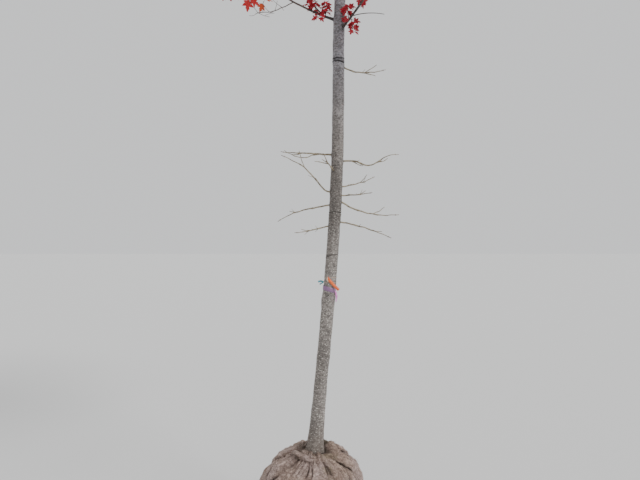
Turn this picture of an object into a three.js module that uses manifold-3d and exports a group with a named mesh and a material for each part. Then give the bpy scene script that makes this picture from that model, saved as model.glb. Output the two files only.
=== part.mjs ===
// A nursery-grown maple sapling in autumn leaf, standing on its burlap-wrapped root ball.
// Millimetres, z up. The flat underside of the ball is on z = 0, with its middle at the origin.
// The front of the tree faces -y, and its trunk leans towards +x.

import * as THREE from "three";
import Module from "manifold-3d";

const wasm = await Module();
wasm.setup();

// The tree as a whole
const TREE_TOP = 5200;
const GAP = 0.3; // between neighbouring solids
const DEGREE = Math.PI / 180;
const PLAIN_CAP_SIDES = 6; // a wider end is closed by a fan from its middle
const TWIG_SIDES = 3;
const BOUGH_SEED = 41;
const FOLIAGE_SEED = 100;
const LEADER_SEED = 90;
const BARE_TWIG_SEED = 700;
const NEARLY_ALONG = 0.8; // cosine past which a heading counts as lying along an axis
const UP = new THREE.Vector3(0, 0, 1);

// Root ball
const BALL_RADIUS = 280;
const BALL_FOOT_RADIUS = 205;
const BALL_WAIST = 180; // height of its widest ring
const BALL_SHOULDER = 368; // height where the top begins to flatten
const BALL_SEAT = 415; // flat cut under the trunk
const COLLAR_TOP = 430; // top of the burlap rolled round the trunk's foot
const COLLAR_RADIUS = 64;
const BALL_SIDES = 40;
const BALL_RINGS = 15;
const FOLD_COUNT = 9; // creases each way round the ball
const FOLD_TURN = 1.15; // how far a crease winds round from foot to collar, in radians
const FOLD_DEPTH = 15;
const FOLD_WIDTH = 0.22;
const FOLD_SINK = 0.35; // how far creases on the top are drawn down, for each unit drawn in
const LUMP_HEIGHT = 5;

// Trunk
const TRUNK_OFFSET = 16; // its foot stands a little to the +x side of the ball
const TRUNK_TOP = 4560;
const TRUNK_SIDES = 14;
const LEAN = 0.095; // sideways travel for each unit of height, low on the trunk
const LEAN_FADE_FROM = 950;
const LEAN_FADE_TO = 2500;
const SWAY = 9; // gentle wander of the upper trunk
const SWAY_LENGTH = 1450;
const TRUNK_STATIONS = [
  // height, radius
  [BALL_SEAT, 47],
  [460, 41.5],
  [520, 38],
  [620, 34.5],
  [800, 32.8],
  [1150, 32.8],
  [1300, 31.6],
  [2000, 31],
  [2600, 30],
  [3000, 25.5],
  [3500, 20.5],
  [4000, 14.5],
  [TRUNK_TOP, 7.5],
];
const TRUNK_RING_STEP = 170;
const FLARE_LOBES = 5; // root buttresses at the foot
const FLARE_DEPTH = 0.1;
const FLARE_FADE = 42;

// Boughs, in opposite pairs
const TIERS = 7;
const FIRST_TIER = 2600;
const TIER_RISE = 262;
const FIRST_AZIMUTH = -20 * DEGREE;
const TIER_TURN = 68.75 * DEGREE; // half the golden angle, so that pairs never stand over each other
const TIER_JITTER = 7 * DEGREE;
const HALF_JITTER = 6 * DEGREE;
const RISE_JITTER = 24;
const TILT_JITTER = 5 * DEGREE;
const LENGTH_JITTER = 0.06;
const BEND_JITTER = 14 * DEGREE;
const LONGEST_BRANCH = 1080;
const LONGEST_TIER = 1.5;
const LENGTH_LOSS = 0.46; // share lost from the longest tier to the highest
const LOW_TILT = 58 * DEGREE; // off the vertical, where the lowest boughs leave the trunk
const TILT_LOSS = 2.5 * DEGREE;
const LOW_END_TILT = 30 * DEGREE;
const END_TILT_LOSS = 2 * DEGREE;
const BARE_SHARE = 0.25; // of a branch's length that is bare bough, before its foliage
const BOUGH_RADIUS = 8;
const BOUGH_TIER_LOSS = 0.45;
const BOUGH_END = 0.66; // radius left at the bough's tip
const BOUGH_COLLAR = 0.5;
const BOUGH_COLLAR_LENGTH = 16;
const BOUGH_SIDES = 6;
const BOUGH_STEPS = 4;
const BRANCH_STEPS = 12;
const LEADER_AZIMUTH = 50 * DEGREE;
const LEADER_TILT = 2 * DEGREE;
const LEADER_END_TILT = 6 * DEGREE;
const LEADER_RADIUS = 6.5;
const TOP_LEAF_RISE = 20; // how far the highest leaf stands over the leader's tip
// The lowest pair: the +x one leaves lower and towards the front, the -x one a little away from it
const LOWEST_PAIR = [
  { rise: -30, azimuth: -52 * DEGREE, tilt: 78 * DEGREE, endTilt: 44 * DEGREE },
  { rise: 26, azimuth: 176 * DEGREE, tilt: 74 * DEGREE, endTilt: 52 * DEGREE },
];
const LOWEST_BARE_SHARE = 0.17;
const LOWEST_RADIUS = 6.4;

// Foliage
const CROWN_MIDDLE = 3560;
const CROWN_HALF_HEIGHT = 1690;
const CROWN_RADIUS = 900;
const STEM_STEPS = 6;
const STEM_TIP_RADIUS = 1.9;
const TRIANGLE_GROWTH = 1.4; // a three-sided twig is this much wider at its corners than a round one
const NODES_PER_STEM = 5;
const FIRST_NODE = 0.1;
const LAST_NODE = 0.82;
const SIDE_SHARE = 0.42; // of the stem's length, for its longest side twig
const SIDE_TIP_LOSS = 0.5;
const SIDE_SPREAD = 0.2;
const SIDE_ROLL = 0.3;
const SIDE_TIP_RADIUS = 1.7;
const SIDE_STEPS = 2;
const TWIG_ROOT_SHARE = 0.48; // of the stem's radius, so that a twig's foot lies inside it
const DIVERGENCE = 50 * DEGREE;
const DIVERGENCE_JITTER = 9 * DEGREE;
const UPWARD_PULL = 0.2;
const LEAF_LENGTH = 190;
const LEAF_LENGTH_SPREAD = 0.14;
const LEAF_OUTLINE = [
  // along and across, as shares of the leaf's length
  [0.55, -0.37],
  [0.66, -0.16],
  [1, 0],
  [0.66, 0.16],
  [0.55, 0.37],
];
const LEAF_TIP = 2;
const LEAF_THICKNESS = 5;
const LEAF_DROOP = 32 * DEGREE; // below the level of its fan
const LEAF_DROOP_SPREAD = 12 * DEGREE;
const LEAF_ROLL = 0.3;
const LEAF_ROOT_DEPTH = 1.5;
const FAN_TURN = 92 * DEGREE; // between neighbouring leaves of a fan
const FAN_TURN_SPREAD = 4 * DEGREE;
const FAN_NOTCH = 7; // how far from its foot a fan parts into leaves
const FAN_DROOP = 0.6;
const FAN_ROLL = 0.5;
const FAN_GAP = 2;
const SPACE_MARGIN = 7; // kept between one mass of foliage and the next
const LIMB_MARGIN = 6;

// Bare side twigs low on the trunk: the height and azimuth of each, its length, its tilts off
// the vertical from root to tip in degrees, evenly spaced, and how thick it is beside the others
const BARE_TWIG_RADIUS = 3.3;
const BARE_TWIG_TIP = 1.1;
const BARE_TWIG_SIDES = 4;
const BARE_TWIG_STEPS = 6;
const BARE_TWIG_KINK = 7; // sideways wander of its azimuth
const PRONG_PLACE = 0.62; // where along a bare twig its side prong leaves
const PRONG_ANGLE = 38 * DEGREE;
const PRONG_SHARE = 0.3; // of the twig's length
const PRONG_ROOT = 0.6; // of the twig's root radius
const BARE_TWIGS = [
  { height: 1918, azimuth: 176, length: 265, tilts: [82, 87, 82], thick: 1.35 },
  { height: 1882, azimuth: -8, length: 295, tilts: [76, 93, 116, 66, 52, 108], thick: 1.2 },
  { height: 1820, azimuth: -124, length: 120, tilts: [66, 62, 54], thick: 1 },
  { height: 1722, azimuth: 186, length: 312, tilts: [96, 42, 42, 63, 64], thick: 1 },
  { height: 1748, azimuth: 14, length: 185, tilts: [80, 74, 62], thick: 0.9 },
  { height: 1708, azimuth: -24, length: 160, tilts: [94, 90, 84], thick: 0.9 },
  { height: 1664, azimuth: 172, length: 285, tilts: [97, 101, 122], thick: 1.05 },
  { height: 1694, azimuth: 4, length: 310, tilts: [126, 104, 84], thick: 1.15 },
  { height: 1558, azimuth: 190, length: 175, tilts: [102, 106, 96], thick: 0.9 },
  { height: 1578, azimuth: -12, length: 265, tilts: [102, 106, 116], thick: 1 },
  { height: 2416, azimuth: -8, length: 235, tilts: [150, 98, 76], thick: 0.95 },
];

// Markers tied round the trunk
const MARKER_HEIGHT = 1250;
const MARKER_CLEARANCE = 1; // from the bark to a band
const TAG_WIDTH = 12;
const TAG_WRAP_STEPS = 6;
const RIBBON_WIDTH = 22;
const MARKER_THICKNESS = 1.2;
const MARKER_SEGMENTS = 20;

/** A repeatable stream of numbers from 0 to 1. */
function makeRandom(seed) {
  let state = seed >>> 0;
  return () => {
    state = (state + 0x6d2b79f5) >>> 0;
    let mixed = Math.imul(state ^ (state >>> 15), state | 1);
    mixed ^= mixed + Math.imul(mixed ^ (mixed >>> 7), mixed | 61);
    return ((mixed ^ (mixed >>> 14)) >>> 0) / 4294967296;
  };
}

function spread(random, amount) {
  return (2 * random() - 1) * amount;
}

function lerp(from, to, share) {
  return from + (to - from) * share;
}

function smoothstep(from, to, value) {
  const t = Math.min(1, Math.max(0, (value - from) / (to - from)));
  return t * t * (3 - 2 * t);
}

function directionOf(azimuth, tilt) {
  return new THREE.Vector3(
    Math.sin(tilt) * Math.cos(azimuth),
    Math.sin(tilt) * Math.sin(azimuth),
    Math.cos(tilt),
  );
}

/** A closed solid from flat arrays of vertices and triangles. */
function solidFrom(vertices, triangles) {
  const mesh = new wasm.Mesh({
    numProp: 3,
    vertProperties: new Float32Array(vertices),
    triVerts: new Uint32Array(triangles),
  });
  mesh.merge();
  return new wasm.Manifold(mesh);
}

/** The coordinates of points in one flat array. */
function coordinates(points) {
  return points.flatMap((p) => [p.x, p.y, p.z]);
}

/** The triangles between rings of corners that are numbered one ring after the other. */
function wallTriangles(ringCount, sides) {
  const triangles = [];
  for (let i = 0; i + 1 < ringCount; i++) {
    for (let j = 0; j < sides; j++) {
      const a = i * sides + j;
      const b = i * sides + ((j + 1) % sides);
      triangles.push(a, b, b + sides, a, b + sides, a + sides);
    }
  }
  return triangles;
}

/**
 * A closed solid through rings of points, with a flat cap at each end.
 * Each ring runs counter-clockwise, seen from the last one.
 */
function skin(rings) {
  const sides = rings[0].length;
  const vertices = coordinates(rings.flat());
  const triangles = wallTriangles(rings.length, sides);
  for (const last of [false, true]) {
    const ring = last ? rings[rings.length - 1] : rings[0];
    const first = last ? (rings.length - 1) * sides : 0;
    if (sides <= PLAIN_CAP_SIDES) {
      for (let j = 1; j + 1 < sides; j++) {
        if (last) triangles.push(first, first + j, first + j + 1);
        else triangles.push(first, first + j + 1, first + j);
      }
      continue;
    }
    const middle = ring.reduce((sum, p) => sum.add(p), new THREE.Vector3());
    middle.divideScalar(sides);
    const centre = vertices.length / 3;
    vertices.push(middle.x, middle.y, middle.z);
    for (let j = 0; j < sides; j++) {
      const a = first + j;
      const b = first + ((j + 1) % sides);
      if (last) triangles.push(a, b, centre);
      else triangles.push(b, a, centre);
    }
  }
  return solidFrom(vertices, triangles);
}

/** The direction of a line of points at one of them. */
function headingAt(points, i) {
  const before = points[Math.max(0, i - 1)];
  const after = points[Math.min(points.length - 1, i + 1)];
  return after.clone().sub(before).normalize();
}

/**
 * A tapering limb along points, one radius for each.
 * Its end rings may be given headings to stand square to.
 */
function limb(points, radii, sides, firstHeading = null, lastHeading = null) {
  const rings = [];
  let side = new THREE.Vector3(1, 0, 0);
  if (Math.abs(headingAt(points, 0).x) > NEARLY_ALONG) side.set(0, 1, 0);
  points.forEach((point, i) => {
    let heading = headingAt(points, i);
    if (i === 0 && firstHeading) heading = firstHeading;
    if (i === points.length - 1 && lastHeading) heading = lastHeading;
    side = side.clone().addScaledVector(heading, -side.dot(heading)).normalize();
    const other = heading.clone().cross(side);
    const ring = [];
    for (let j = 0; j < sides; j++) {
      const angle = (2 * Math.PI * j) / sides;
      ring.push(
        point
          .clone()
          .addScaledVector(side, radii[i] * Math.cos(angle))
          .addScaledVector(other, radii[i] * Math.sin(angle)),
      );
    }
    rings.push(ring);
  });
  return skin(rings);
}

/** Solids joined into one, in pairs so that each join stays small. */
function join(solids) {
  let row = solids;
  while (row.length > 1) {
    const next = [];
    for (let i = 0; i < row.length; i += 2) {
      next.push(i + 1 < row.length ? row[i].add(row[i + 1]) : row[i]);
    }
    row = next;
  }
  return row[0];
}

/** A solid as a mesh placed at its own root point. */
function meshOf(name, solid, root, material) {
  const found = solid.getMesh();
  const vertices = new Float32Array(found.numVert * 3);
  for (let i = 0; i < found.numVert; i++) {
    for (let k = 0; k < 3; k++) {
      vertices[3 * i + k] = found.vertProperties[i * found.numProp + k];
    }
  }
  const geometry = new THREE.BufferGeometry();
  geometry.setAttribute("position", new THREE.BufferAttribute(vertices, 3));
  geometry.setIndex(new THREE.BufferAttribute(new Uint32Array(found.triVerts), 1));
  geometry.translate(-root.x, -root.y, -root.z);
  geometry.computeVertexNormals();
  const mesh = new THREE.Mesh(geometry, material);
  mesh.name = name;
  mesh.position.copy(root);
  return mesh;
}

/** The trunk's centre at a height: a lean that fades out, then a slight wander. */
function trunkCentre(z) {
  const span = LEAN_FADE_TO - LEAN_FADE_FROM;
  const t = Math.min(1, Math.max(0, (z - LEAN_FADE_FROM) / span));
  const faded = span * (t ** 3 - t ** 4 / 2) + Math.max(0, z - LEAN_FADE_TO);
  const above = Math.max(0, z - LEAN_FADE_TO);
  const wander = SWAY * Math.sin((2 * Math.PI * above) / SWAY_LENGTH);
  return new THREE.Vector3(
    TRUNK_OFFSET + LEAN * (z - BALL_SEAT - faded) + wander,
    -0.6 * wander,
    z,
  );
}

/** The trunk's plain radius at a height. */
function trunkRadius(z) {
  const last = TRUNK_STATIONS.length - 1;
  let i = 0;
  while (i < last - 1 && TRUNK_STATIONS[i + 1][0] < z) i++;
  const [low, lowRadius] = TRUNK_STATIONS[i];
  const [high, highRadius] = TRUNK_STATIONS[i + 1];
  const share = Math.min(1, Math.max(0, (z - low) / (high - low)));
  return lerp(lowRadius, highRadius, share);
}

/** The trunk between two heights, grown outwards by an allowance. */
function trunkSolid(bottom, top, allowance) {
  const heights = [bottom];
  for (const [z] of TRUNK_STATIONS) if (z > bottom && z < top) heights.push(z);
  for (let z = BALL_SEAT + TRUNK_RING_STEP; z < top; z += TRUNK_RING_STEP) {
    if (heights.every((h) => Math.abs(h - z) > 0.4 * TRUNK_RING_STEP)) heights.push(z);
  }
  heights.push(top);
  heights.sort((a, b) => a - b);
  const rings = heights.map((z) => {
    const centre = trunkCentre(z);
    const flare = FLARE_DEPTH * Math.exp(-Math.max(0, z - BALL_SEAT) / FLARE_FADE);
    return Array.from({ length: TRUNK_SIDES }, (_, j) => {
      const angle = (2 * Math.PI * j) / TRUNK_SIDES;
      const lobes = 1 + flare * Math.cos(FLARE_LOBES * angle + 1);
      const radius = trunkRadius(z) * lobes + allowance;
      return new THREE.Vector3(
        centre.x + radius * Math.cos(angle),
        centre.y + radius * Math.sin(angle),
        z,
      );
    });
  });
  return skin(rings);
}

/** How deep the burlap is drawn in by the creases that cross there, from 0 to 1. */
function creaseDepth(angle, rise) {
  const winding = FOLD_TURN * FOLD_COUNT * rise;
  const one = Math.sin((FOLD_COUNT * angle + winding) / 2) ** 2;
  const other = Math.sin((FOLD_COUNT * angle - winding + 1) / 2) ** 2;
  return Math.max(Math.exp(-one / FOLD_WIDTH), Math.exp(-other / FOLD_WIDTH));
}

/** The wrapped ball: a squat round body with a flat foot, creased burlap and a gathered collar. */
function rootBall() {
  const outline = new THREE.SplineCurve([
    new THREE.Vector2(BALL_FOOT_RADIUS, 0),
    new THREE.Vector2(0.94 * BALL_RADIUS, 0.42 * BALL_WAIST),
    new THREE.Vector2(BALL_RADIUS, BALL_WAIST),
    new THREE.Vector2(0.92 * BALL_RADIUS, 0.77 * BALL_SHOULDER),
    new THREE.Vector2(0.7 * BALL_RADIUS, BALL_SHOULDER),
    new THREE.Vector2(2 * COLLAR_RADIUS, BALL_SEAT - 15),
    new THREE.Vector2(1.3 * COLLAR_RADIUS, BALL_SEAT),
    new THREE.Vector2(1.2 * COLLAR_RADIUS, COLLAR_TOP - 5),
    new THREE.Vector2(COLLAR_RADIUS, COLLAR_TOP),
  ]).getPoints(BALL_RINGS);
  const rings = outline.map(({ x: radius, y: z }) => {
    const rise = z / BALL_SEAT;
    const fade = smoothstep(0, 0.2, rise) * (1 - smoothstep(0.93, 1.03, rise));
    const shift = TRUNK_OFFSET * smoothstep(0.5, 0.95, rise);
    return Array.from({ length: BALL_SIDES }, (_, j) => {
      const angle = (2 * Math.PI * j) / BALL_SIDES;
      const drawn = FOLD_DEPTH * fade * creaseDepth(angle, rise);
      const lumps = Math.sin(3 * angle + 2 * rise) * Math.cos(2 * angle - 3 * rise);
      const out = radius - drawn + LUMP_HEIGHT * fade * lumps;
      const sunk = FOLD_SINK * drawn * smoothstep(0.7, 0.95, rise);
      return new THREE.Vector3(shift + out * Math.cos(angle), out * Math.sin(angle), z - sunk);
    });
  });
  const trunkFoot = trunkSolid(BALL_SEAT - GAP, COLLAR_TOP + COLLAR_RADIUS, GAP);
  return skin(rings).subtract(trunkFoot);
}

/** Points of a branch that leaves the trunk and lifts towards the light. */
function branchLine(start, azimuth, tilt, endTilt, length, bend) {
  const points = [start.clone()];
  for (let i = 0; i < BRANCH_STEPS; i++) {
    const t = (i + 0.5) / BRANCH_STEPS;
    const heading = directionOf(
      azimuth + bend * Math.sin(Math.PI * t),
      lerp(tilt, endTilt, Math.sqrt(t)),
    );
    const last = points[points.length - 1];
    points.push(last.clone().addScaledVector(heading, length / BRANCH_STEPS));
  }
  return points;
}

/** The point at a share of the way along a line of points. */
function pointAlong(points, share) {
  const at = Math.min(points.length - 1.000001, Math.max(0, share * (points.length - 1)));
  const i = Math.floor(at);
  return points[i].clone().lerp(points[i + 1], at - i);
}

function headingAlong(points, share) {
  const ahead = pointAlong(points, Math.min(1, share + 0.02));
  return ahead.sub(pointAlong(points, Math.max(0, share - 0.02))).normalize();
}

/** The part of a line of points between two shares of its length. */
function stretchOf(points, from, to) {
  const inner = points.filter((_, i) => {
    const share = i / (points.length - 1);
    return share > from && share < to;
  });
  return [pointAlong(points, from), ...inner, pointAlong(points, to)];
}

/** Every branch of the crown, the leader last: its line, and the line's woody and leafy stretches. */
function crownBranches() {
  const random = makeRandom(BOUGH_SEED);
  const branches = [];
  for (let tier = 0; tier < TIERS; tier++) {
    const reach = (tier - LONGEST_TIER) / (TIERS - 1 - LONGEST_TIER);
    const turn = FIRST_AZIMUTH + tier * TIER_TURN + spread(random, TIER_JITTER);
    for (const half of [0, 1]) {
      const own = tier === 0 ? LOWEST_PAIR[half] : null;
      const rise = own ? own.rise : spread(random, RISE_JITTER);
      const start = trunkCentre(FIRST_TIER + tier * TIER_RISE + rise);
      const azimuth = own ? own.azimuth : turn + half * Math.PI + spread(random, HALF_JITTER);
      const tilt = own ? own.tilt : LOW_TILT - tier * TILT_LOSS + spread(random, TILT_JITTER);
      const endTilt = own ? own.endTilt : LOW_END_TILT - tier * END_TILT_LOSS;
      const length =
        LONGEST_BRANCH * (1 - LENGTH_LOSS * reach ** 2) * (1 + spread(random, LENGTH_JITTER));
      const radius = own ? LOWEST_RADIUS : BOUGH_RADIUS - tier * BOUGH_TIER_LOSS;
      const bend = spread(random, BEND_JITTER);
      const line = branchLine(start, azimuth, tilt, endTilt, length, bend);
      const bare = own ? LOWEST_BARE_SHARE : BARE_SHARE;
      branches.push({ line, length, radius, bare, seed: FOLIAGE_SEED + 2 * tier + half });
    }
  }
  const top = trunkCentre(TRUNK_TOP);
  const length = TREE_TOP - TRUNK_TOP - TOP_LEAF_RISE;
  const line = branchLine(top, LEADER_AZIMUTH, LEADER_TILT, LEADER_END_TILT, length, 0);
  branches.push({ line, length, radius: LEADER_RADIUS, bare: 0, seed: LEADER_SEED });
  return branches.map((branch) => ({
    ...branch,
    woody: stretchOf(branch.line, 0, branch.bare),
    leafy: stretchOf(branch.line, branch.bare, 1),
  }));
}

/** The bare first part of a branch, cut clear of the trunk. */
function boughSolid(branch, trunkGrown) {
  const points = [];
  const radii = [];
  for (let i = 0; i <= BOUGH_STEPS; i++) {
    const share = (branch.bare * i) / BOUGH_STEPS;
    points.push(pointAlong(branch.line, share));
    const fromBark = Math.max(0, share * branch.length - trunkRadius(points[0].z));
    const collar = 1 + BOUGH_COLLAR * Math.exp(-fromBark / BOUGH_COLLAR_LENGTH);
    radii.push(branch.radius * collar * lerp(1, BOUGH_END, i / BOUGH_STEPS));
  }
  const tipHeading = headingAlong(branch.line, branch.bare);
  return limb(points, radii, BOUGH_SIDES, null, tipHeading).subtract(trunkGrown);
}

function distanceToLine(point, points) {
  let nearest = Infinity;
  const segment = new THREE.Line3();
  const foot = new THREE.Vector3();
  for (let i = 0; i + 1 < points.length; i++) {
    segment.set(points[i], points[i + 1]).closestPointToPoint(point, true, foot);
    nearest = Math.min(nearest, foot.distanceTo(point));
  }
  return nearest;
}

/**
 * True where a point lies in a mass's own space:
 * inside the crown, nearest to its own branch, and clear of every limb.
 */
function inSpace(point, own, branches) {
  const high = (point.z - CROWN_MIDDLE) / CROWN_HALF_HEIGHT;
  const middle = trunkCentre(Math.min(point.z, TRUNK_TOP));
  const out = Math.hypot(point.x - middle.x, point.y - middle.y);
  if (high ** 2 + (out / CROWN_RADIUS) ** 2 > 1) return false;
  if (point.z < TRUNK_TOP + LIMB_MARGIN && out < trunkRadius(point.z) + LIMB_MARGIN) return false;
  const near = distanceToLine(point, branches[own].leafy);
  return branches.every((other, i) => {
    const clear = distanceToLine(point, other.woody) > other.radius + LIMB_MARGIN;
    const apart = distanceToLine(point, other.leafy) > near + 2 * SPACE_MARGIN;
    return clear && (i === own || apart);
  });
}

/** A side direction square to a heading, rolled about it. */
function sideways(heading, roll) {
  const level = new THREE.Vector3(-heading.y, heading.x, 0);
  if (level.lengthSq() < 1e-6) level.set(1, 0, 0);
  level.normalize();
  return level.applyAxisAngle(heading, roll);
}

/** Points of a side twig that leaves a stem at an angle and bends upwards. */
function sideTwigLine(start, heading, side, divergence, length) {
  const points = [start.clone()];
  const going = heading
    .clone()
    .multiplyScalar(Math.cos(divergence))
    .addScaledVector(side, Math.sin(divergence));
  for (let i = 0; i < SIDE_STEPS; i++) {
    going.z += UPWARD_PULL;
    going.normalize();
    const last = points[points.length - 1];
    points.push(last.clone().addScaledVector(going, length / SIDE_STEPS));
  }
  return points;
}

/** The corners of one three-lobed leaf of a fan, from its left lobe round its tip to its right lobe. */
function leafCorners(foot, frame, turn, random) {
  const length = LEAF_LENGTH * (1 + spread(random, LEAF_LENGTH_SPREAD));
  const droop = LEAF_DROOP + spread(random, LEAF_DROOP_SPREAD);
  const roll = spread(random, LEAF_ROLL);
  const level = frame.along
    .clone()
    .multiplyScalar(Math.cos(turn))
    .addScaledVector(frame.across, Math.sin(turn));
  const across = frame.up.clone().cross(level);
  const along = level.multiplyScalar(Math.cos(droop)).addScaledVector(frame.up, -Math.sin(droop));
  across.multiplyScalar(Math.cos(roll)).addScaledVector(frame.up, Math.sin(roll));
  return LEAF_OUTLINE.map(([u, v]) =>
    foot
      .clone()
      .addScaledVector(along, u * length)
      .addScaledVector(across, v * length),
  );
}

/** A fan of leaves as one thin solid, thickest at their shared foot. A place in it may be empty. */
function fanSolid(foot, frame, places) {
  const outline = [];
  const notchAt = (turn) =>
    foot
      .clone()
      .addScaledVector(frame.along, FAN_NOTCH * Math.cos(turn))
      .addScaledVector(frame.across, FAN_NOTCH * Math.sin(turn));
  for (const { turn, corners } of places) {
    outline.push(...(corners ?? [notchAt(turn)]), notchAt(turn + FAN_TURN / 2));
  }
  outline.push(notchAt(Math.PI));
  const above = foot.clone().addScaledVector(frame.up, LEAF_THICKNESS / 2);
  const below = foot.clone().addScaledVector(frame.up, -LEAF_THICKNESS / 2);
  const vertices = coordinates([...outline, above, below]);
  const triangles = [];
  const count = outline.length;
  for (let i = 0; i < count; i++) {
    const next = (i + 1) % count;
    triangles.push(i, next, count, next, i, count + 1);
  }
  return solidFrom(vertices, triangles);
}

/** The level-headed frame of a fan of leaves at the tip of a twig. */
function fanFrame(heading, roll) {
  const along = heading.clone();
  along.z -= FAN_DROOP;
  along.normalize();
  const across = sideways(along, roll);
  return { along, across, up: along.clone().cross(across) };
}

/**
 * One mass of foliage: a stem with opposite side twigs, each pair a quarter turn on,
 * and a fan of leaves at each tip.
 */
function foliageSolid(own, branches) {
  const branch = branches[own];
  const random = makeRandom(branch.seed);
  const stem = [];
  const radii = [];
  const rootRadius = branch.radius * lerp(1, BOUGH_END, branch.bare / BARE_SHARE);
  for (let i = 0; i <= STEM_STEPS; i++) {
    stem.push(pointAlong(branch.line, lerp(branch.bare, 1, i / STEM_STEPS)));
    radii.push(lerp(rootRadius, STEM_TIP_RADIUS, i / STEM_STEPS) * TRIANGLE_GROWTH);
  }
  const rootHeading = branch.bare ? headingAlong(branch.line, branch.bare) : UP;
  stem[0].addScaledVector(rootHeading, GAP);
  const twigs = [limb(stem, radii, TWIG_SIDES, rootHeading)];
  const fans = [];
  const stemLength = branch.length * (1 - branch.bare);
  const inside = (point) => inSpace(point, own, branches);
  const addFan = (line) => {
    const heading = headingAlong(line, 1);
    const foot = pointAlong(line, 1).addScaledVector(heading, -LEAF_ROOT_DEPTH);
    const frame = fanFrame(heading, spread(random, FAN_ROLL));
    const places = [-1, 0, 1].map((hand) => {
      const turn = hand * FAN_TURN + spread(random, FAN_TURN_SPREAD);
      const corners = leafCorners(foot, frame, turn, random);
      const middle = foot.clone().lerp(corners[LEAF_TIP], 0.5);
      return { turn, corners: [...corners, middle].every(inside) ? corners : null };
    });
    const middleOnly = places.map((place, i) => (i === 1 ? place : { ...place, corners: null }));
    for (const tried of [places, middleOnly]) {
      if (tried.every(({ corners }) => corners === null)) continue;
      const fan = fanSolid(foot, frame, tried);
      if (fans.some((other) => other.minGap(fan, FAN_GAP) < FAN_GAP)) continue;
      fans.push(fan);
      return;
    }
  };
  const roll = random() * Math.PI;
  for (let node = 0; node < NODES_PER_STEM; node++) {
    const share = lerp(FIRST_NODE, LAST_NODE, node / (NODES_PER_STEM - 1));
    const root = pointAlong(stem, share);
    const heading = headingAlong(stem, share);
    for (const half of [0, 1]) {
      const turned = roll + (node / 2 + half) * Math.PI + spread(random, SIDE_ROLL);
      const side = sideways(heading, turned);
      const angle = DIVERGENCE + spread(random, DIVERGENCE_JITTER);
      const length =
        stemLength * SIDE_SHARE * (1 - SIDE_TIP_LOSS * share) * (1 + spread(random, SIDE_SPREAD));
      const twig = sideTwigLine(root, heading, side, angle, length);
      if (!twig.slice(1).every(inside)) continue;
      const thick = TWIG_ROOT_SHARE * lerp(radii[0], radii[STEM_STEPS], share);
      const thickness = twig.map((_, i) => lerp(thick, SIDE_TIP_RADIUS, i / SIDE_STEPS));
      twigs.push(limb(twig, thickness, TWIG_SIDES));
      addFan(twig);
    }
  }
  addFan(stem);
  return { solid: join([...twigs, ...fans]), root: stem[0] };
}

/** The value at a share of the way through a row of evenly spaced ones. */
function valueAlong(values, share) {
  const at = Math.min(values.length - 1.000001, Math.max(0, share * (values.length - 1)));
  const i = Math.floor(at);
  return lerp(values[i], values[i + 1], at - i);
}

/** A bare twig with one fork near its middle, cut clear of the trunk. */
function bareTwig(spec, index, trunkGrown) {
  const random = makeRandom(BARE_TWIG_SEED + index);
  const start = trunkCentre(spec.height);
  const points = [start];
  const full = spec.length + trunkRadius(spec.height);
  for (let i = 0; i < BARE_TWIG_STEPS; i++) {
    const t = (i + 0.5) / BARE_TWIG_STEPS;
    const azimuth = (spec.azimuth + spread(random, BARE_TWIG_KINK)) * DEGREE;
    const heading = directionOf(azimuth, valueAlong(spec.tilts, t) * DEGREE);
    points.push(points[i].clone().addScaledVector(heading, full / BARE_TWIG_STEPS));
  }
  const thick = spec.thick * BARE_TWIG_RADIUS;
  const radii = points.map((_, i) => lerp(thick, BARE_TWIG_TIP, i / BARE_TWIG_STEPS));
  const fork = pointAlong(points, PRONG_PLACE);
  const heading = headingAlong(points, PRONG_PLACE);
  const side = sideways(heading, spread(random, 0.6)).multiplyScalar(index % 2 ? 1 : -1);
  const prong = sideTwigLine(fork, heading, side, PRONG_ANGLE, PRONG_SHARE * spec.length);
  const solid = join([
    limb(points, radii, BARE_TWIG_SIDES),
    limb(prong, [PRONG_ROOT * thick, BARE_TWIG_TIP, BARE_TWIG_TIP], TWIG_SIDES),
  ]).subtract(trunkGrown);
  return { solid, root: start };
}

/** A thin closed band round the trunk, which may dip on the +x side. */
function trunkBand(height, width, dip) {
  const vertices = [];
  const triangles = [];
  for (let i = 0; i < MARKER_SEGMENTS; i++) {
    const angle = (2 * Math.PI * i) / MARKER_SEGMENTS;
    const z = height - dip * Math.cos(angle);
    for (const [out, up] of [
      [MARKER_CLEARANCE, -0.5],
      [MARKER_CLEARANCE + MARKER_THICKNESS, -0.5],
      [MARKER_CLEARANCE + MARKER_THICKNESS, 0.5],
      [MARKER_CLEARANCE, 0.5],
    ]) {
      const at = z + up * width;
      const centre = trunkCentre(at);
      const radius = trunkRadius(at) + out;
      vertices.push(
        centre.x + radius * Math.cos(angle),
        centre.y + radius * Math.sin(angle),
        at,
      );
    }
  }
  for (let i = 0; i < MARKER_SEGMENTS; i++) {
    const next = (i + 1) % MARKER_SEGMENTS;
    for (let k = 0; k < 4; k++) {
      const a = 4 * i + k;
      const b = 4 * next + k;
      const c = 4 * next + ((k + 1) % 4);
      const d = 4 * i + ((k + 1) % 4);
      triangles.push(a, b, c, a, c, d);
    }
  }
  return solidFrom(vertices, triangles);
}

/** A thin strip through points, its flat side towards the azimuth given for each of them. */
function strip(points, azimuths, width) {
  const rings = points.map((point, i) => {
    const heading = headingAt(points, i);
    const across = heading.clone().cross(directionOf(azimuths[i], Math.PI / 2)).normalize();
    const out = across.clone().cross(heading).normalize();
    return [
      [-0.5, -0.5],
      [0.5, -0.5],
      [0.5, 0.5],
      [-0.5, 0.5],
    ].map(([u, v]) =>
      point
        .clone()
        .addScaledVector(across, u * width)
        .addScaledVector(out, v * MARKER_THICKNESS),
    );
  });
  const made = skin(rings);
  if (made.volume() > 0) return made;
  return skin(rings.map((ring) => [...ring].reverse()));
}

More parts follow.
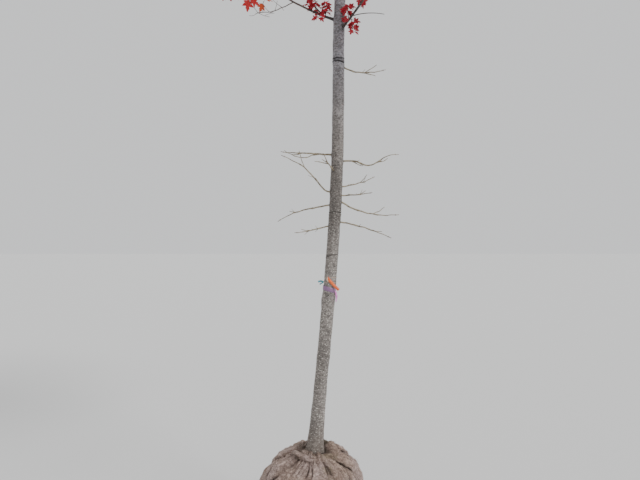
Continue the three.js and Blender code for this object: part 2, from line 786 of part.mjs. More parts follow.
/** A point beside the trunk, at an azimuth, height and distance from the bark. */
function besideTrunk(azimuth, z, out) {
  const radius = trunkRadius(z) + out;
  const centre = trunkCentre(z);
  return new THREE.Vector3(
    centre.x + radius * Math.cos(azimuth),
    centre.y + radius * Math.sin(azimuth),
    z,
  );
}

/** The orange tag: a narrow loop, and a strip that slants across the front and stands off at its end. */
function markerTag() {
  const loopHeight = MARKER_HEIGHT + 38;
  const under = MARKER_CLEARANCE + MARKER_THICKNESS / 2;
  const over = under + 2 * MARKER_THICKNESS;
  const points = [];
  const azimuths = [];
  for (let i = 0; i <= TAG_WRAP_STEPS; i++) {
    const t = i / TAG_WRAP_STEPS;
    azimuths.push(lerp(-128, -64, t) * DEGREE);
    const out = lerp(under, over, Math.min(1, 3 * t));
    points.push(besideTrunk(azimuths[i], lerp(loopHeight, loopHeight - 36, t), out));
  }
  const free = points[points.length - 1];
  for (const [x, y, z] of [
    [13, -2, -12],
    [29, -5, -27],
  ]) {
    points.push(free.clone().add(new THREE.Vector3(x, y, z)));
    azimuths.push(-72 * DEGREE);
  }
  return join([trunkBand(loopHeight, 5, 0), strip(points, azimuths, TAG_WIDTH)]);
}

/** The lilac ribbon: a wide band, lower on the +x side, where its tail hangs. */
function markerRibbon() {
  const band = trunkBand(MARKER_HEIGHT - 22, RIBBON_WIDTH, 9);
  const azimuth = -28 * DEGREE;
  const knot = besideTrunk(azimuth, MARKER_HEIGHT - 30, 1.8);
  const tail = [
    knot,
    knot.clone().add(new THREE.Vector3(5, -4, -26)),
    knot.clone().add(new THREE.Vector3(4, -3, -56)),
  ];
  return join([band, strip(tail, [azimuth, azimuth, azimuth], 0.6 * RIBBON_WIDTH)]);
}

/** The teal tie: a narrow loop with a short stiff end on the -x side. */
function markerTie() {
  const height = MARKER_HEIGHT + 14;
  const knot = besideTrunk(196 * DEGREE, height, 1.4);
  const end = [
    knot,
    knot.clone().add(new THREE.Vector3(-14, -3, 4)),
    knot.clone().add(new THREE.Vector3(-30, -5, -4)),
  ];
  const front = -90 * DEGREE;
  return join([trunkBand(height, 6, 0), strip(end, [front, front, front], 9)]);
}

function finish(color, roughness) {
  return new THREE.MeshStandardMaterial({ color, roughness, metalness: 0 });
}

const burlap = finish(0x9a8878, 0.95);
const bark = finish(0x7f7975, 0.85);
const twigBark = finish(0x8f8a7c, 0.8);
const autumnLeaf = finish(0xa3242b, 0.6);
const orangePlastic = finish(0xe0622e, 0.5);
const lilacPlastic = finish(0xb583ad, 0.5);
const tealPlastic = finish(0x4f8f98, 0.5);

const tree = new THREE.Group();
tree.name = "sapling";
const stemGroup = new THREE.Group();
const crownGroup = new THREE.Group();
const markerGroup = new THREE.Group();
tree.add(stemGroup, crownGroup, markerGroup);

const origin = new THREE.Vector3();
const trunkGrown = trunkSolid(BALL_SEAT, TRUNK_TOP + 1, GAP);
stemGroup.add(meshOf("root_ball", rootBall(), origin, burlap));
stemGroup.add(
  meshOf("trunk", trunkSolid(BALL_SEAT, TRUNK_TOP, 0), trunkCentre(BALL_SEAT), bark),
);

const branches = crownBranches();
branches.forEach((branch, i) => {
  const leader = i === branches.length - 1;
  const number = String(i + 1).padStart(2, "0");
  if (!leader) {
    const bough = boughSolid(branch, trunkGrown);
    crownGroup.add(meshOf(`bough_${number}`, bough, branch.line[0], bark));
  }
  const { solid, root } = foliageSolid(i, branches);
  const name = leader ? "foliage_top" : `foliage_${number}`;
  crownGroup.add(meshOf(name, solid, root, autumnLeaf));
});

BARE_TWIGS.forEach((spec, i) => {
  const { solid, root } = bareTwig(spec, i, trunkGrown);
  const name = `bare_twig_${String(i + 1).padStart(2, "0")}`;
  stemGroup.add(meshOf(name, solid, root, twigBark));
});

const markerRoot = trunkCentre(MARKER_HEIGHT);
markerGroup.add(meshOf("marker_tag", markerTag(), markerRoot, orangePlastic));
markerGroup.add(meshOf("marker_ribbon", markerRibbon(), markerRoot, lilacPlastic));
markerGroup.add(meshOf("marker_tie", markerTie(), markerRoot, tealPlastic));

export default tree;
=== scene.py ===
"""A nursery maple sapling in autumn leaf, standing on its burlap-wrapped root ball.

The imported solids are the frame. Each is replaced by a finer mesh in the same place: bark with its relief,
creased burlap, and twigs that carry the growth of the solids on to single leaves.
Metres, z up, with the front of the tree to -y.
"""

import logging
from collections.abc import Iterable, Iterator
from dataclasses import dataclass, field
from enum import Enum
from math import cos, pi, sin, sqrt

import bpy
import numpy as np
from bpy.types import ID, Material, Mesh, Node, NodeSocket, NodeTree, Object
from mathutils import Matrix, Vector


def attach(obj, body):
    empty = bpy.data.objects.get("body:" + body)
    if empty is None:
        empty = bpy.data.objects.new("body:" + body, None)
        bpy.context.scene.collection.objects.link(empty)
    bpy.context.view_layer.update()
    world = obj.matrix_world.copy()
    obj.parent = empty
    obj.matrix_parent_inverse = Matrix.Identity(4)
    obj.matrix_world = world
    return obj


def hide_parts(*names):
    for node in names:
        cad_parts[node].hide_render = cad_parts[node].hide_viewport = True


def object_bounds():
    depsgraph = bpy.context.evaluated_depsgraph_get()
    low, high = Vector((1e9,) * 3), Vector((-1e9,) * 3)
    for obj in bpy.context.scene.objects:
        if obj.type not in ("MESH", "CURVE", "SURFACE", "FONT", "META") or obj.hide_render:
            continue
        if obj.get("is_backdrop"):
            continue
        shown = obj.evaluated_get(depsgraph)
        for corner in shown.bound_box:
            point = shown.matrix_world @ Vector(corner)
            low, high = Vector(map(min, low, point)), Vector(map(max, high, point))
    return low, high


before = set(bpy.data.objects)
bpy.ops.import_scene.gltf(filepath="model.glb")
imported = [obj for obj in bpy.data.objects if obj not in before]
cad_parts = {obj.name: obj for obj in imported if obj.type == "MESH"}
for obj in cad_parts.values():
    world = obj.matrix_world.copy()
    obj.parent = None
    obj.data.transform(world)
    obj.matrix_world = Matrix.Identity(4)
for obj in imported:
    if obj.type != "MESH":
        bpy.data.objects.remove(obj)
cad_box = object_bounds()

LOG = logging.getLogger("sapling")
BODY = "root"
DEGREE = pi / 180
TURN = 2 * pi
WORD = 0xFFFFFFFF
UP = np.array([0.0, 0.0, 1.0])
NEARLY_ALONG = 0.8
NEARLY_UPRIGHT = 1e-6
LOOK_AHEAD = 0.02
SHORT_OF_END = 1.000001
WAVE_SPREAD = (0.7, 1.5)
TINY = 1e-9
Array = np.ndarray


class Stream:
    """A repeatable stream of numbers from 0 to 1, the one the tree's solids were grown from."""

    def __init__(self, seed: int) -> None:
        """Starts the stream at any whole number."""
        self._state = seed & WORD

    def next(self) -> float:
        """Draws the next number, from 0 to 1."""
        self._state = (self._state + 0x6D2B79F5) & WORD
        mixed = ((self._state ^ (self._state >> 15)) * (self._state | 1)) & WORD
        mixed ^= (mixed + (mixed ^ (mixed >> 7)) * (mixed | 61)) & WORD
        return ((mixed ^ (mixed >> 14)) & WORD) / (WORD + 1)

    def spread(self, amount: float) -> float:
        """A number from -amount to amount."""
        return (2 * self.next() - 1) * amount

    def between(self, low: float, high: float) -> float:
        """A number from low to high."""
        return low + (high - low) * self.next()


def lerp(start: float, end: float, share: float) -> float:
    """The value a share of the way from start to end."""
    return start + (end - start) * share


def smoothstep(low: float, high: float, value: Array) -> Array:
    """Rises smoothly from 0 at low to 1 at high."""
    t = np.clip((value - low) / (high - low), 0, 1)
    return t * t * (3 - 2 * t)


def unit(vectors: Array) -> Array:
    """The vectors at length 1."""
    return vectors / np.maximum(np.linalg.norm(vectors, axis=-1, keepdims=True), TINY)


def direction_of(azimuth: float, tilt: float) -> Array:
    """A direction from its azimuth and its tilt off the vertical."""
    level = sin(tilt)
    return np.array([level * cos(azimuth), level * sin(azimuth), cos(tilt)])


def point_along(points: Array, share: float) -> Array:
    """The point at a share of the way along a line of points."""
    at = min(len(points) - SHORT_OF_END, max(0.0, share * (len(points) - 1)))
    i = int(at)
    return points[i] + (points[i + 1] - points[i]) * (at - i)


def heading_along(points: Array, share: float) -> Array:
    """The direction of a line of points at a share of its length."""
    before, after = max(0, share - LOOK_AHEAD), min(1, share + LOOK_AHEAD)
    return unit(point_along(points, after) - point_along(points, before))


def stretch_of(points: Array, start: float, end: float) -> Array:
    """The part of a line of points between two shares of its length."""
    last = len(points) - 1
    inner = [point for i, point in enumerate(points) if start < i / last < end]
    return np.array([point_along(points, start), *inner, point_along(points, end)])


def sideways(heading: Array, roll: float) -> Array:
    """A direction square to a heading, rolled about it."""
    level = np.array([-heading[1], heading[0], 0.0])
    if level @ level < NEARLY_UPRIGHT:
        level = np.array([1.0, 0.0, 0.0])
    level = unit(level)
    return level * cos(roll) + np.cross(heading, level) * sin(roll)


def pairs_along(line: Array, shares: Iterable, roll: float, jitter: float, stream: Stream) -> Iterator:
    """Opposite pairs of places along a line, each pair a quarter turn on from the one before.

    Args:
        line: the line.
        shares: where the pairs are, as shares of its length.
        roll: turns the first pair about the line.
        jitter: how far a place may turn from its exact side.
        stream: gives the small differences, one drawn as each place is reached.

    Returns:
        For each place its share, point, heading, and direction out to its side.
    """
    for step, share in enumerate(shares):
        point, heading = point_along(line, share), heading_along(line, share)
        for half in (0, 1):
            side = sideways(heading, roll + (step / 2 + half) * pi + stream.spread(jitter))
            yield share, point, heading, side


def walk(start: Array, headings: list[Array], length: float) -> Array:
    """A line of even steps, one along each heading."""
    points = [start]
    for heading in headings:
        points.append(points[-1] + heading * length / len(headings))
    return np.array(points)


def distance_to_line(points: Array, line: Array) -> Array:
    """The least distance from each point to a line of points."""
    best = np.full(len(points), np.inf)
    for start, end in zip(line[:-1], line[1:]):
        span = end - start
        t = np.clip((points - start) @ span / max(span @ span, TINY), 0, 1)
        best = np.minimum(best, np.linalg.norm(points - start - t[:, None] * span, axis=1))
    return best


def smooth_line(points: Array, count: int) -> Array:
    """A smooth curve through points.

    Args:
        points: the points to pass through, one row each.
        count: how many points the curve has.

    Returns:
        The curve's points, evenly spaced in their parameter.
    """
    padded = np.concatenate([points[:1], points, points[-1:]])
    at = np.linspace(0, len(points) - 1, count)
    i = np.minimum(at.astype(int), len(points) - 2)
    t = (at - i)[:, None]
    a, b, c, d = (padded[i + k] for k in range(4))
    return b + 0.5 * t * (c - a + t * (2 * a - 5 * b + 4 * c - d + t * (3 * (b - c) + d - a)))


def even_turns(sides: int) -> Array:
    """Azimuths spaced evenly round a full turn."""
    return np.arange(sides) * TURN / sides


def turn_from(middle: float, turns: Array) -> Array:
    """How far azimuths lie from a middle one, within half a turn either way."""
    return (turns - middle + pi) % TURN - pi


def around(radius: Array | float, angle: Array, z: Array | float) -> Array:
    """The points at a radius, an azimuth and a height."""
    return np.stack(np.broadcast_arrays(radius * np.cos(angle), radius * np.sin(angle), z), axis=-1)


def ripple(points: Array, wavelength: float, seed: int, waves: int = 24) -> Array:
    """A smooth random field, as a sum of plane waves.

    Args:
        points: where it is wanted, in a grid of any shape.
        wavelength: the usual distance from crest to crest.
        seed: picks the field.
        waves: how many waves are added up.

    Returns:
        Values of about -1 to 1, one for each point.
    """
    random = np.random.default_rng(seed)
    way = unit(random.normal(size=(waves, points.shape[-1])))
    way *= TURN / (wavelength * random.uniform(*WAVE_SPREAD, (waves, 1)))
    phase = random.uniform(0, TURN, waves)
    flat = points.reshape(-1, points.shape[-1])
    total = np.zeros(len(flat))
    for k in range(waves):
        total += np.cos(flat @ way[k] + phase[k])
    return (total / sqrt(waves)).reshape(points.shape[:-1])


def wander(points: Array, amount: float, wavelength: float, seed: int) -> Array:
    """A smooth random shift for each point, of about the amount at most."""
    return amount * np.stack([ripple(points, wavelength, seed + k) for k in range(3)], axis=-1)


def new_object(name: str, data: ID) -> Object:
    """A new object in the scene."""
    made = bpy.data.objects.new(name, data)
    bpy.context.scene.collection.objects.link(made)
    return made


def keep_values(mesh: Mesh, name: str, values: Array) -> None:
    """Keeps a value for each point of a mesh under a name."""
    layer = mesh.attributes.new(name, "FLOAT", "POINT")
    layer.data.foreach_set("value", values.astype(np.float32))


class Stock:
    """Vertices and faces gathered for one piece."""

    def __init__(self) -> None:
        """Starts with nothing in it."""
        self._vertices: list[Array] = []
        self._faces: list[Array] = []
        self._marks: list[Array] = []
        self._count = 0

    def add(self, vertices: Array, *faces: Array, marks: Array | None = None) -> None:
        """Adds a patch of surface.

        Args:
            vertices: its points, one row each.
            faces: arrays of faces that name its points by number, one row each.
            marks: a value for each point, or None for 0.
        """
        self._vertices.append(vertices)
        self._faces.extend(face + self._count for face in faces)
        self._marks.append(np.zeros(len(vertices)) if marks is None else marks)
        self._count += len(vertices)

    def build(self, name: str, mark: str | None = None) -> Object:
        """Makes one smooth-shaded object of what was added.

        Args:
            name: the object's name.
            mark: the name to keep the marks under, or None to drop them.

        Returns:
            The new object, linked to the scene.
        """
        corners = np.concatenate([face.ravel() for face in self._faces])
        sizes = np.concatenate([np.full(len(face), face.shape[1]) for face in self._faces])
        mesh = bpy.data.meshes.new(name)
        mesh.vertices.add(self._count)
        mesh.vertices.foreach_set("co", np.concatenate(self._vertices).astype(np.float32).ravel())
        mesh.loops.add(len(corners))
        mesh.loops.foreach_set("vertex_index", corners.astype(np.int32))
        mesh.polygons.add(len(sizes))
        mesh.polygons.foreach_set("loop_start", (np.cumsum(sizes) - sizes).astype(np.int32))
        mesh.update(calc_edges=True)
        mesh.shade_smooth()
        if mark:
            keep_values(mesh, mark, np.concatenate(self._marks))
        return new_object(name, mesh)


def wall_faces(rings: int, sides: int) -> Array:
    """Quads between rings of points that are numbered one ring after the other."""
    ring = np.arange(rings - 1)[:, None] * sides
    here = np.arange(sides)[None, :]
    after = (here + 1) % sides
    quads = np.stack([ring + here, ring + after, ring + sides + after, ring + sides + here], axis=-1)
    return quads.reshape(-1, 4)


def cap_faces(first: int, sides: int, middle: int, last: bool) -> Array:
    """Triangles that close a ring of points round a middle one."""
    here = first + np.arange(sides)
    after = first + (np.arange(sides) + 1) % sides
    order = (here, after) if last else (after, here)
    return np.stack([*order, np.full(sides, middle)], axis=-1)


def tube_frames(points: Array) -> tuple[Array, Array]:
    """Two directions square to a line at each of its points, turning as little as possible."""
    heading = unit(np.gradient(points, axis=0))
    side = np.array([1.0, 0.0, 0.0]) if abs(heading[0][0]) < NEARLY_ALONG else np.array([0.0, 1.0, 0.0])
    sides = []
    for going in heading:
        side = unit(side - going * (side @ going))
        sides.append(side)
    across = np.array(sides)
    return across, np.cross(heading, across)


def add_closed(stock: Stock, rings: Array, ends: Array, marks: Array | None) -> None:
    """Adds rings of points as a closed body.

    Args:
        stock: where it goes.
        rings: the points, one ring after the other.
        ends: the points in the middle of the first and last ring.
        marks: a value for each point, those of the ends last, or None.
    """
    count, sides = rings.shape[:2]
    body = rings.reshape(-1, 3)
    stock.add(
        np.concatenate([body, ends]),
        wall_faces(count, sides),
        cap_faces(0, sides, len(body), last=False),
        cap_faces(len(body) - sides, sides, len(body) + 1, last=True),
        marks=marks,
    )


def add_tube(
    stock: Stock, points: Array, radii: Array, sides: int,
    relief: Array | float = 0.0, marks: Array | None = None,
) -> None:
    """Adds a round limb with closed ends.

    Args:
        stock: where it goes.
        points: the limb's line.
        radii: its radius at each point.
        sides: how many sides each ring has.
        relief: how far the surface stands proud of the radius, for each ring and side.
        marks: a value for each ring and side, or None.
    """
    across, other = tube_frames(points)
    angle = even_turns(sides)
    out = np.broadcast_to(radii[:, None] + relief, (len(points), sides))
    rings = (
        points[:, None, :]
        + (out * np.cos(angle))[..., None] * across[:, None, :]
        + (out * np.sin(angle))[..., None] * other[:, None, :]
    )
    add_closed(stock, rings, points[[0, -1]], None if marks is None else np.append(marks, [0.0, 0.0]))


def linear(red: int, green: int, blue: int) -> tuple[float, float, float, float]:
    """A colour given as screen values from 0 to 255, for a shader socket."""
    shares = (value / 255 for value in (red, green, blue))
    return (*(s / 12.92 if s <= 0.04045 else ((s + 0.055) / 1.055) ** 2.4 for s in shares), 1.0)


class Bench:
    """A node tree while it is being wired."""

    def __init__(self, tree: NodeTree) -> None:
        """Takes the tree to work on."""
        self.tree = tree

    def add(self, kind: str, inputs: dict | None = None, **settings: object) -> Node:
        """Adds a node.

        Args:
            kind: the node's type, without its leading ShaderNode.
            inputs: values or sockets for its inputs, by name or number.
            settings: values for its properties.

        Returns:
            The new node.
        """
        node = self.tree.nodes.new("ShaderNode" + kind)
        for key, value in settings.items():
            setattr(node, key, value)
        for key, value in (inputs or {}).items():
            self.feed(node.inputs[key], value)
        return node

    def feed(self, target: NodeSocket, value: object) -> None:
        """Links a socket to an input, or sets the input's own value."""
        if isinstance(value, NodeSocket):
            self.tree.links.new(value, target)
        else:
            target.default_value = value

    def sum(self, operation: str, *values: object, clamp: bool = False) -> NodeSocket:
        """The result of one step of arithmetic."""
        node = self.add("Math", dict(enumerate(values)), operation=operation, use_clamp=clamp)
        return node.outputs[0]

    def remap(
        self, value: object, low: object, high: object, start: float = 0, end: float = 1
    ) -> NodeSocket:
        """Carries low to start and high to end, smoothly and without passing them."""
        given = {"Value": value, "From Min": low, "From Max": high, "To Min": start, "To Max": end}
        return self.add("MapRange", given, interpolation_type="SMOOTHSTEP").outputs["Result"]

    def blend(self, share: object, first: object, second: object) -> NodeSocket:
        """A colour between two colours."""
        node = self.add("Mix", {"Factor": share}, data_type="RGBA")
        colours = [socket for socket in node.inputs if socket.type == "RGBA"]
        self.feed(colours[0], first)
        self.feed(colours[1], second)
        return next(socket for socket in node.outputs if socket.type == "RGBA")

    def effect(self, group: NodeTree, **values: object) -> Node:
        """Places a node group, with its inputs set by their names."""
        node = self.add("Group", node_tree=group)
        for key, value in values.items():
            self.feed(node.inputs[key.replace("_", " ")], value)
        return node

    def mask(self, group: NodeTree, **values: object) -> NodeSocket:
        """Places a node group for its first result."""
        return self.effect(group, **values).outputs[0]

    def layers(self, under: object, *coats: tuple) -> NodeSocket:
        """Colours laid one over the other.

        Args:
            under: the colour beneath them all.
            coats: the mask, colour and strength of each, from the lowest up.

        Returns:
            The colour that they give together.
        """
        for mask, colour, strength in coats:
            under = self.blend(self.sum("MULTIPLY", mask, strength), under, colour)
        return under

    def mark(self, name: str) -> NodeSocket:
        """A value kept with the mesh's points."""
        return self.add("Attribute", attribute_name=name).outputs["Fac"]


def new_group(name: str, inputs: dict[str, float], outputs: list[str]) -> tuple[Bench, dict, dict]:
    """Starts a node group of number sockets.

    Args:
        name: the group's name.
        inputs: the name and first value of each input.
        outputs: the name of each output.

    Returns:
        A bench for its tree, its inputs' sockets by name, and a place for its results by name.
    """
    tree = bpy.data.node_groups.new(name, "ShaderNodeTree")
    for key, value in inputs.items():
        tree.interface.new_socket(key, in_out="INPUT", socket_type="NodeSocketFloat").default_value = value
    for key in outputs:
        tree.interface.new_socket(key, in_out="OUTPUT", socket_type="NodeSocketFloat")
    given = tree.nodes.new("NodeGroupInput").outputs
    results = tree.nodes.new("NodeGroupOutput").inputs
    return Bench(tree), {key: given[key] for key in inputs}, {key: results[key] for key in outputs}


class Effects:
    """The node groups that the finishes share."""

    def __init__(self) -> None:
        """Builds each group once."""
        self.mottle = self._mottle()
        self.specks = self._specks()
        self.soiling = self._soiling()
        self.weave = self._weave()

    def _place(self, bench: Bench, stretch: object) -> NodeSocket:
        """Places on the object, squeezed along z by the stretch."""
        place = bench.add("TexCoord").outputs["Object"]
        split = bench.add("SeparateXYZ", {0: place})
        height = bench.sum("DIVIDE", split.outputs["Z"], stretch)
        joined = bench.add("CombineXYZ", {"X": split.outputs["X"], "Y": split.outputs["Y"], "Z": height})
        return joined.outputs[0]

    def _mottle(self) -> NodeTree:
        """Soft blotches, drawn out along z by Stretch."""
        sizes = {"Scale": 20.0, "Stretch": 1.0, "Detail": 4.0, "Low": 0.4, "High": 0.6}
        bench, given, results = new_group("mottle", sizes, ["Mask"])
        place = self._place(bench, given["Stretch"])
        noise = bench.add("TexNoise", {"Vector": place, "Scale": given["Scale"], "Detail": given["Detail"]})
        bench.feed(results["Mask"], bench.remap(noise.outputs[0], given["Low"], given["High"]))
        return bench.tree

    def _specks(self) -> NodeTree:
        """Scattered round or drawn-out dots."""
        sizes = {"Scale": 100.0, "Stretch": 1.0, "Size": 0.25, "Share": 0.5}
        bench, given, results = new_group("specks", sizes, ["Mask"])
        place = self._place(bench, given["Stretch"])
        cells = bench.add("TexVoronoi", {"Vector": place, "Scale": given["Scale"]})
        dot = bench.remap(cells.outputs["Distance"], given["Size"], bench.sum("MULTIPLY", given["Size"], 0.4))
        lot = bench.add("SeparateColor", {0: cells.outputs["Color"]}).outputs[0]
        kept = bench.sum("LESS_THAN", lot, given["Share"])
        bench.feed(results["Mask"], bench.sum("MULTIPLY", dot, kept))
        return bench.tree

    def _soiling(self) -> NodeTree:
        """Soil that has climbed from below, with a ragged edge."""
        sizes = {"Low": 0.0, "High": 0.2, "Ragged": 0.1}
        bench, given, results = new_group("soiling", sizes, ["Mask"])
        place = bench.add("TexCoord").outputs["Object"]
        height = bench.add("SeparateXYZ", {0: place}).outputs["Z"]
        noise = bench.add("TexNoise", {"Vector": place, "Scale": 9.0, "Detail": 6.0}).outputs[0]
        torn = bench.sum("MULTIPLY", bench.sum("SUBTRACT", noise, 0.5), given["Ragged"])
        raised = bench.sum("ADD", height, torn)
        bench.feed(results["Mask"], bench.remap(raised, given["High"], given["Low"]))
        return bench.tree

    def _weave(self) -> NodeTree:
        """Crossed threads round an upright body; the mark climb gives the way up its surface."""
        sizes = {"Threads": 400.0, "Pitch": 0.004}
        bench, given, results = new_group("weave", sizes, ["Height", "Thread"])
        place = bench.add("TexCoord").outputs["Object"]
        split = bench.add("SeparateXYZ", {0: place})
        turn = bench.sum("ARCTAN2", split.outputs["Y"], split.outputs["X"])
        level = bench.sum("MULTIPLY", turn, given["Threads"])
        up = bench.sum("MULTIPLY", bench.sum("DIVIDE", bench.mark("climb"), given["Pitch"]), TURN)
        wavy = bench.add("TexNoise", {"Vector": place, "Scale": 30.0, "Detail": 2.0}).outputs[0]
        shift = bench.sum("MULTIPLY", wavy, 9.0)
        warp = bench.sum("SINE", bench.sum("ADD", level, shift))
        weft = bench.sum("SINE", bench.sum("ADD", up, shift))
        product = bench.sum("MULTIPLY", warp, weft)
        bench.feed(results["Height"], bench.remap(product, -1.0, 1.0))
        bench.feed(results["Thread"], bench.remap(bench.sum("MAXIMUM", warp, weft), -0.2, 0.9))
        return bench.tree


def new_material(name: str) -> tuple[Material, Bench, Node]:
    """A new material, a bench for its tree, and its Principled shader."""
    material = bpy.data.materials.new(name)
    material.use_nodes = True
    shader = next(node for node in material.node_tree.nodes if node.type == "BSDF_PRINCIPLED")
    return material, Bench(material.node_tree), shader


def dress(bench: Bench, shader: Node, colour: object, roughness: object, bump: dict) -> None:
    """Sets a shader's colour and roughness, and the bump of its surface by the inputs' names."""
    bench.feed(shader.inputs["Base Color"], colour)
    bench.feed(shader.inputs["Roughness"], roughness)
    bench.feed(shader.inputs["Normal"], bench.add("Bump", bump).outputs[0])


@dataclass(frozen=True)
class BarkFinish:
    """Smooth grey bark with pale pores and dark ring scars, browner with age, with painted shade in its
    grooves and in a band about 1.7 m up.
    """

    name: str
    light: tuple
    dark: tuple
    cool: tuple
    pore: tuple = linear(226, 221, 211)
    dark_mark_and_shade: tuple = linear(30, 27, 26)
    soil: tuple = linear(104, 90, 78)
    # A band of painted shade on the trunk: its middle height, its reach and its strength.
    shade_band_middle: float = 1.7
    shade_band_reach: float = 0.37
    shade_band_share: float = 0.5
    cool_heights: tuple = (1.9, 2.5)
    dash_heights: tuple = (1.2, 2.0)
    dash_strengths: tuple = (0.25, 0.75)
    pore_heights: tuple = (1.9, 1.1)
    pore_strengths: tuple = (0.2, 1.0)
    pore_share: float = 0.8
    roughness: float = 0.8
    relief: float = 0.0022

    def make(self, effects: Effects) -> Material:
        """Makes the material."""
        material, bench, shader = new_material(self.name)
        height = bench.add("SeparateXYZ", {0: bench.add("TexCoord").outputs["Object"]}).outputs["Z"]
        blotch = bench.mask(effects.mottle, Scale=14.0, Stretch=2.2, Low=0.36, High=0.64)
        fleck = bench.mask(effects.mottle, Scale=84.0, Stretch=0.6, Detail=5.0, Low=0.37, High=0.63)
        grain = bench.mask(effects.mottle, Scale=240.0, Stretch=0.6, Detail=5.0, Low=0.3, High=0.7)
        pores = bench.mask(effects.specks, Scale=82.0, Stretch=0.7, Size=0.34, Share=self.pore_share)
        fine = bench.mask(effects.specks, Scale=130.0, Stretch=0.62, Size=0.32, Share=0.6)
        dashes = bench.mask(effects.specks, Scale=58.0, Stretch=0.34, Size=0.4, Share=0.42)
        foot = bench.mask(effects.soiling, Low=0.42, High=0.62, Ragged=0.12)
        # A band of painted shade, darkest about 1.7 m up.
        away = bench.sum("ABSOLUTE", bench.sum("SUBTRACT", height, self.shade_band_middle))
        shade_band = bench.remap(away, self.shade_band_reach, 0.0)
        dash_strength = bench.remap(height, *self.dash_heights, *self.dash_strengths)
        pore_strength = bench.remap(height, *self.pore_heights, *self.pore_strengths)
        mixed = bench.layers(
            bench.blend(bench.remap(height, *self.cool_heights), self.light, self.cool),
            (blotch, self.dark, 0.36),
            (fleck, self.dark, 0.6),
            (shade_band, self.dark, self.shade_band_share),
            (grain, self.dark, 0.3),
            (dashes, self.dark_mark_and_shade, dash_strength),
            (fine, self.pore, 0.5),
            (pores, self.pore, pore_strength),
            (foot, self.soil, 0.5),
            # Dark ring scars, and painted shade in scar eyes, round limb feet and on bough collars and ring
            # lines.
            (bench.mark("dark_mark_and_shade"), self.dark_mark_and_shade, 1.0),
        )
        rough = bench.sum("ADD", bench.sum("MULTIPLY", pores, 0.8), bench.sum("MULTIPLY", grain, 0.8))
        bump = {"Height": rough, "Distance": self.relief, "Strength": 0.8}
        dress(bench, shader, mixed, self.roughness, bump)
        return material


@dataclass(frozen=True)
class TwigFinish:
    """Thin bark of young or dead twigs."""

    name: str
    light: tuple
    dark: tuple
    roughness: float = 0.7
    pore: tuple = linear(214, 206, 190)

    def make(self, effects: Effects) -> Material:
        """Makes the material."""
        material, bench, shader = new_material(self.name)
        blotch = bench.mask(effects.mottle, Scale=60.0, Low=0.35, High=0.65)
        dots = bench.mask(effects.specks, Scale=420.0, Size=0.3, Share=0.4)
        mixed = bench.layers(bench.blend(blotch, self.light, self.dark), (dots, self.pore, 0.5))
        bump = {"Height": blotch, "Distance": 0.0006, "Strength": 0.6}
        dress(bench, shader, mixed, self.roughness, bump)
        return material


@dataclass(frozen=True)
class BurlapFinish:
    """Weathered sacking with painted shade in its creases and soil worked into it, and a damp, mossy patch
    darkened with painted shade round the trunk's foot.
    """

    name: str = "burlap"
    light: tuple = linear(252, 226, 216)
    warm: tuple = linear(230, 202, 184)
    dark: tuple = linear(110, 89, 80)
    crease_shade: tuple = linear(40, 33, 29)
    soil: tuple = linear(104, 86, 72)
    moss: tuple = linear(126, 124, 84)
    straw: tuple = linear(234, 224, 206)
    damp_and_shade: tuple = linear(62, 58, 40)
    damp_and_shade_place: tuple = (0.02, 0.03, 0.43)
    damp_and_shade_edge: tuple = (0.115, 0.06)
    damp_and_shade_share: float = 0.75
    roughness: float = 0.95
    sheen: float = 0.2

    def make(self, effects: Effects) -> Material:
        """Makes the material."""
        material, bench, shader = new_material(self.name)
        wide = bench.mask(effects.mottle, Scale=6.0, Low=0.38, High=0.62)
        fine = bench.mask(effects.mottle, Scale=42.0, Detail=6.0, Low=0.32, High=0.68)
        green = bench.mask(effects.mottle, Scale=11.0, Stretch=0.8, Low=0.6, High=0.72)
        upright = bench.mask(effects.mottle, Scale=230.0, Stretch=9.0, Detail=3.0, Low=0.44, High=0.6)
        level = bench.mask(effects.mottle, Scale=60.0, Stretch=0.16, Low=0.46, High=0.6)
        straws = bench.mask(effects.specks, Scale=110.0, Stretch=1.6, Size=0.24, Share=0.45)
        soiled = bench.mask(effects.soiling, Ragged=0.22)
        weave = bench.effect(effects.weave, Threads=380.0, Pitch=0.0042)
        between = bench.sum("SUBTRACT", 1.0, weave.outputs["Thread"])
        # A damp, mossy patch round the trunk's foot, darkened with painted shade.
        place = {0: bench.add("TexCoord").outputs["Object"], 1: self.damp_and_shade_place}
        away = bench.add("VectorMath", place, operation="DISTANCE").outputs["Value"]
        patch = bench.mask(effects.mottle, Scale=34.0, Low=0.3, High=0.6)
        wet_and_shade = bench.remap(away, *self.damp_and_shade_edge, 0.0, self.damp_and_shade_share)
        mixed = bench.layers(
            bench.blend(wide, self.light, self.warm),
            (fine, self.dark, 0.44),
            (upright, self.dark, 0.44),
            (level, self.dark, 0.4),
            (between, self.dark, 0.35),
            (green, self.moss, 0.3),
            (soiled, self.soil, 0.5),
            (straws, self.straw, 0.6),
            (wet_and_shade, self.damp_and_shade, patch),
            # Painted shade in the creases, pleats and wrinkles, on the tucked lip and underside, and in the
            # roll.
            (bench.mark("hollow_shade"), self.crease_shade, 1.0),
        )
        strands = bench.sum("ADD", upright, level)
        cloth = bench.sum("SUBTRACT", weave.outputs["Height"], bench.sum("ADD", fine, strands))
        dress(bench, shader, mixed, self.roughness, {"Height": cloth, "Distance": 0.0026, "Strength": 0.9})
        shader.inputs["Specular IOR Level"].default_value = self.sheen
        return material


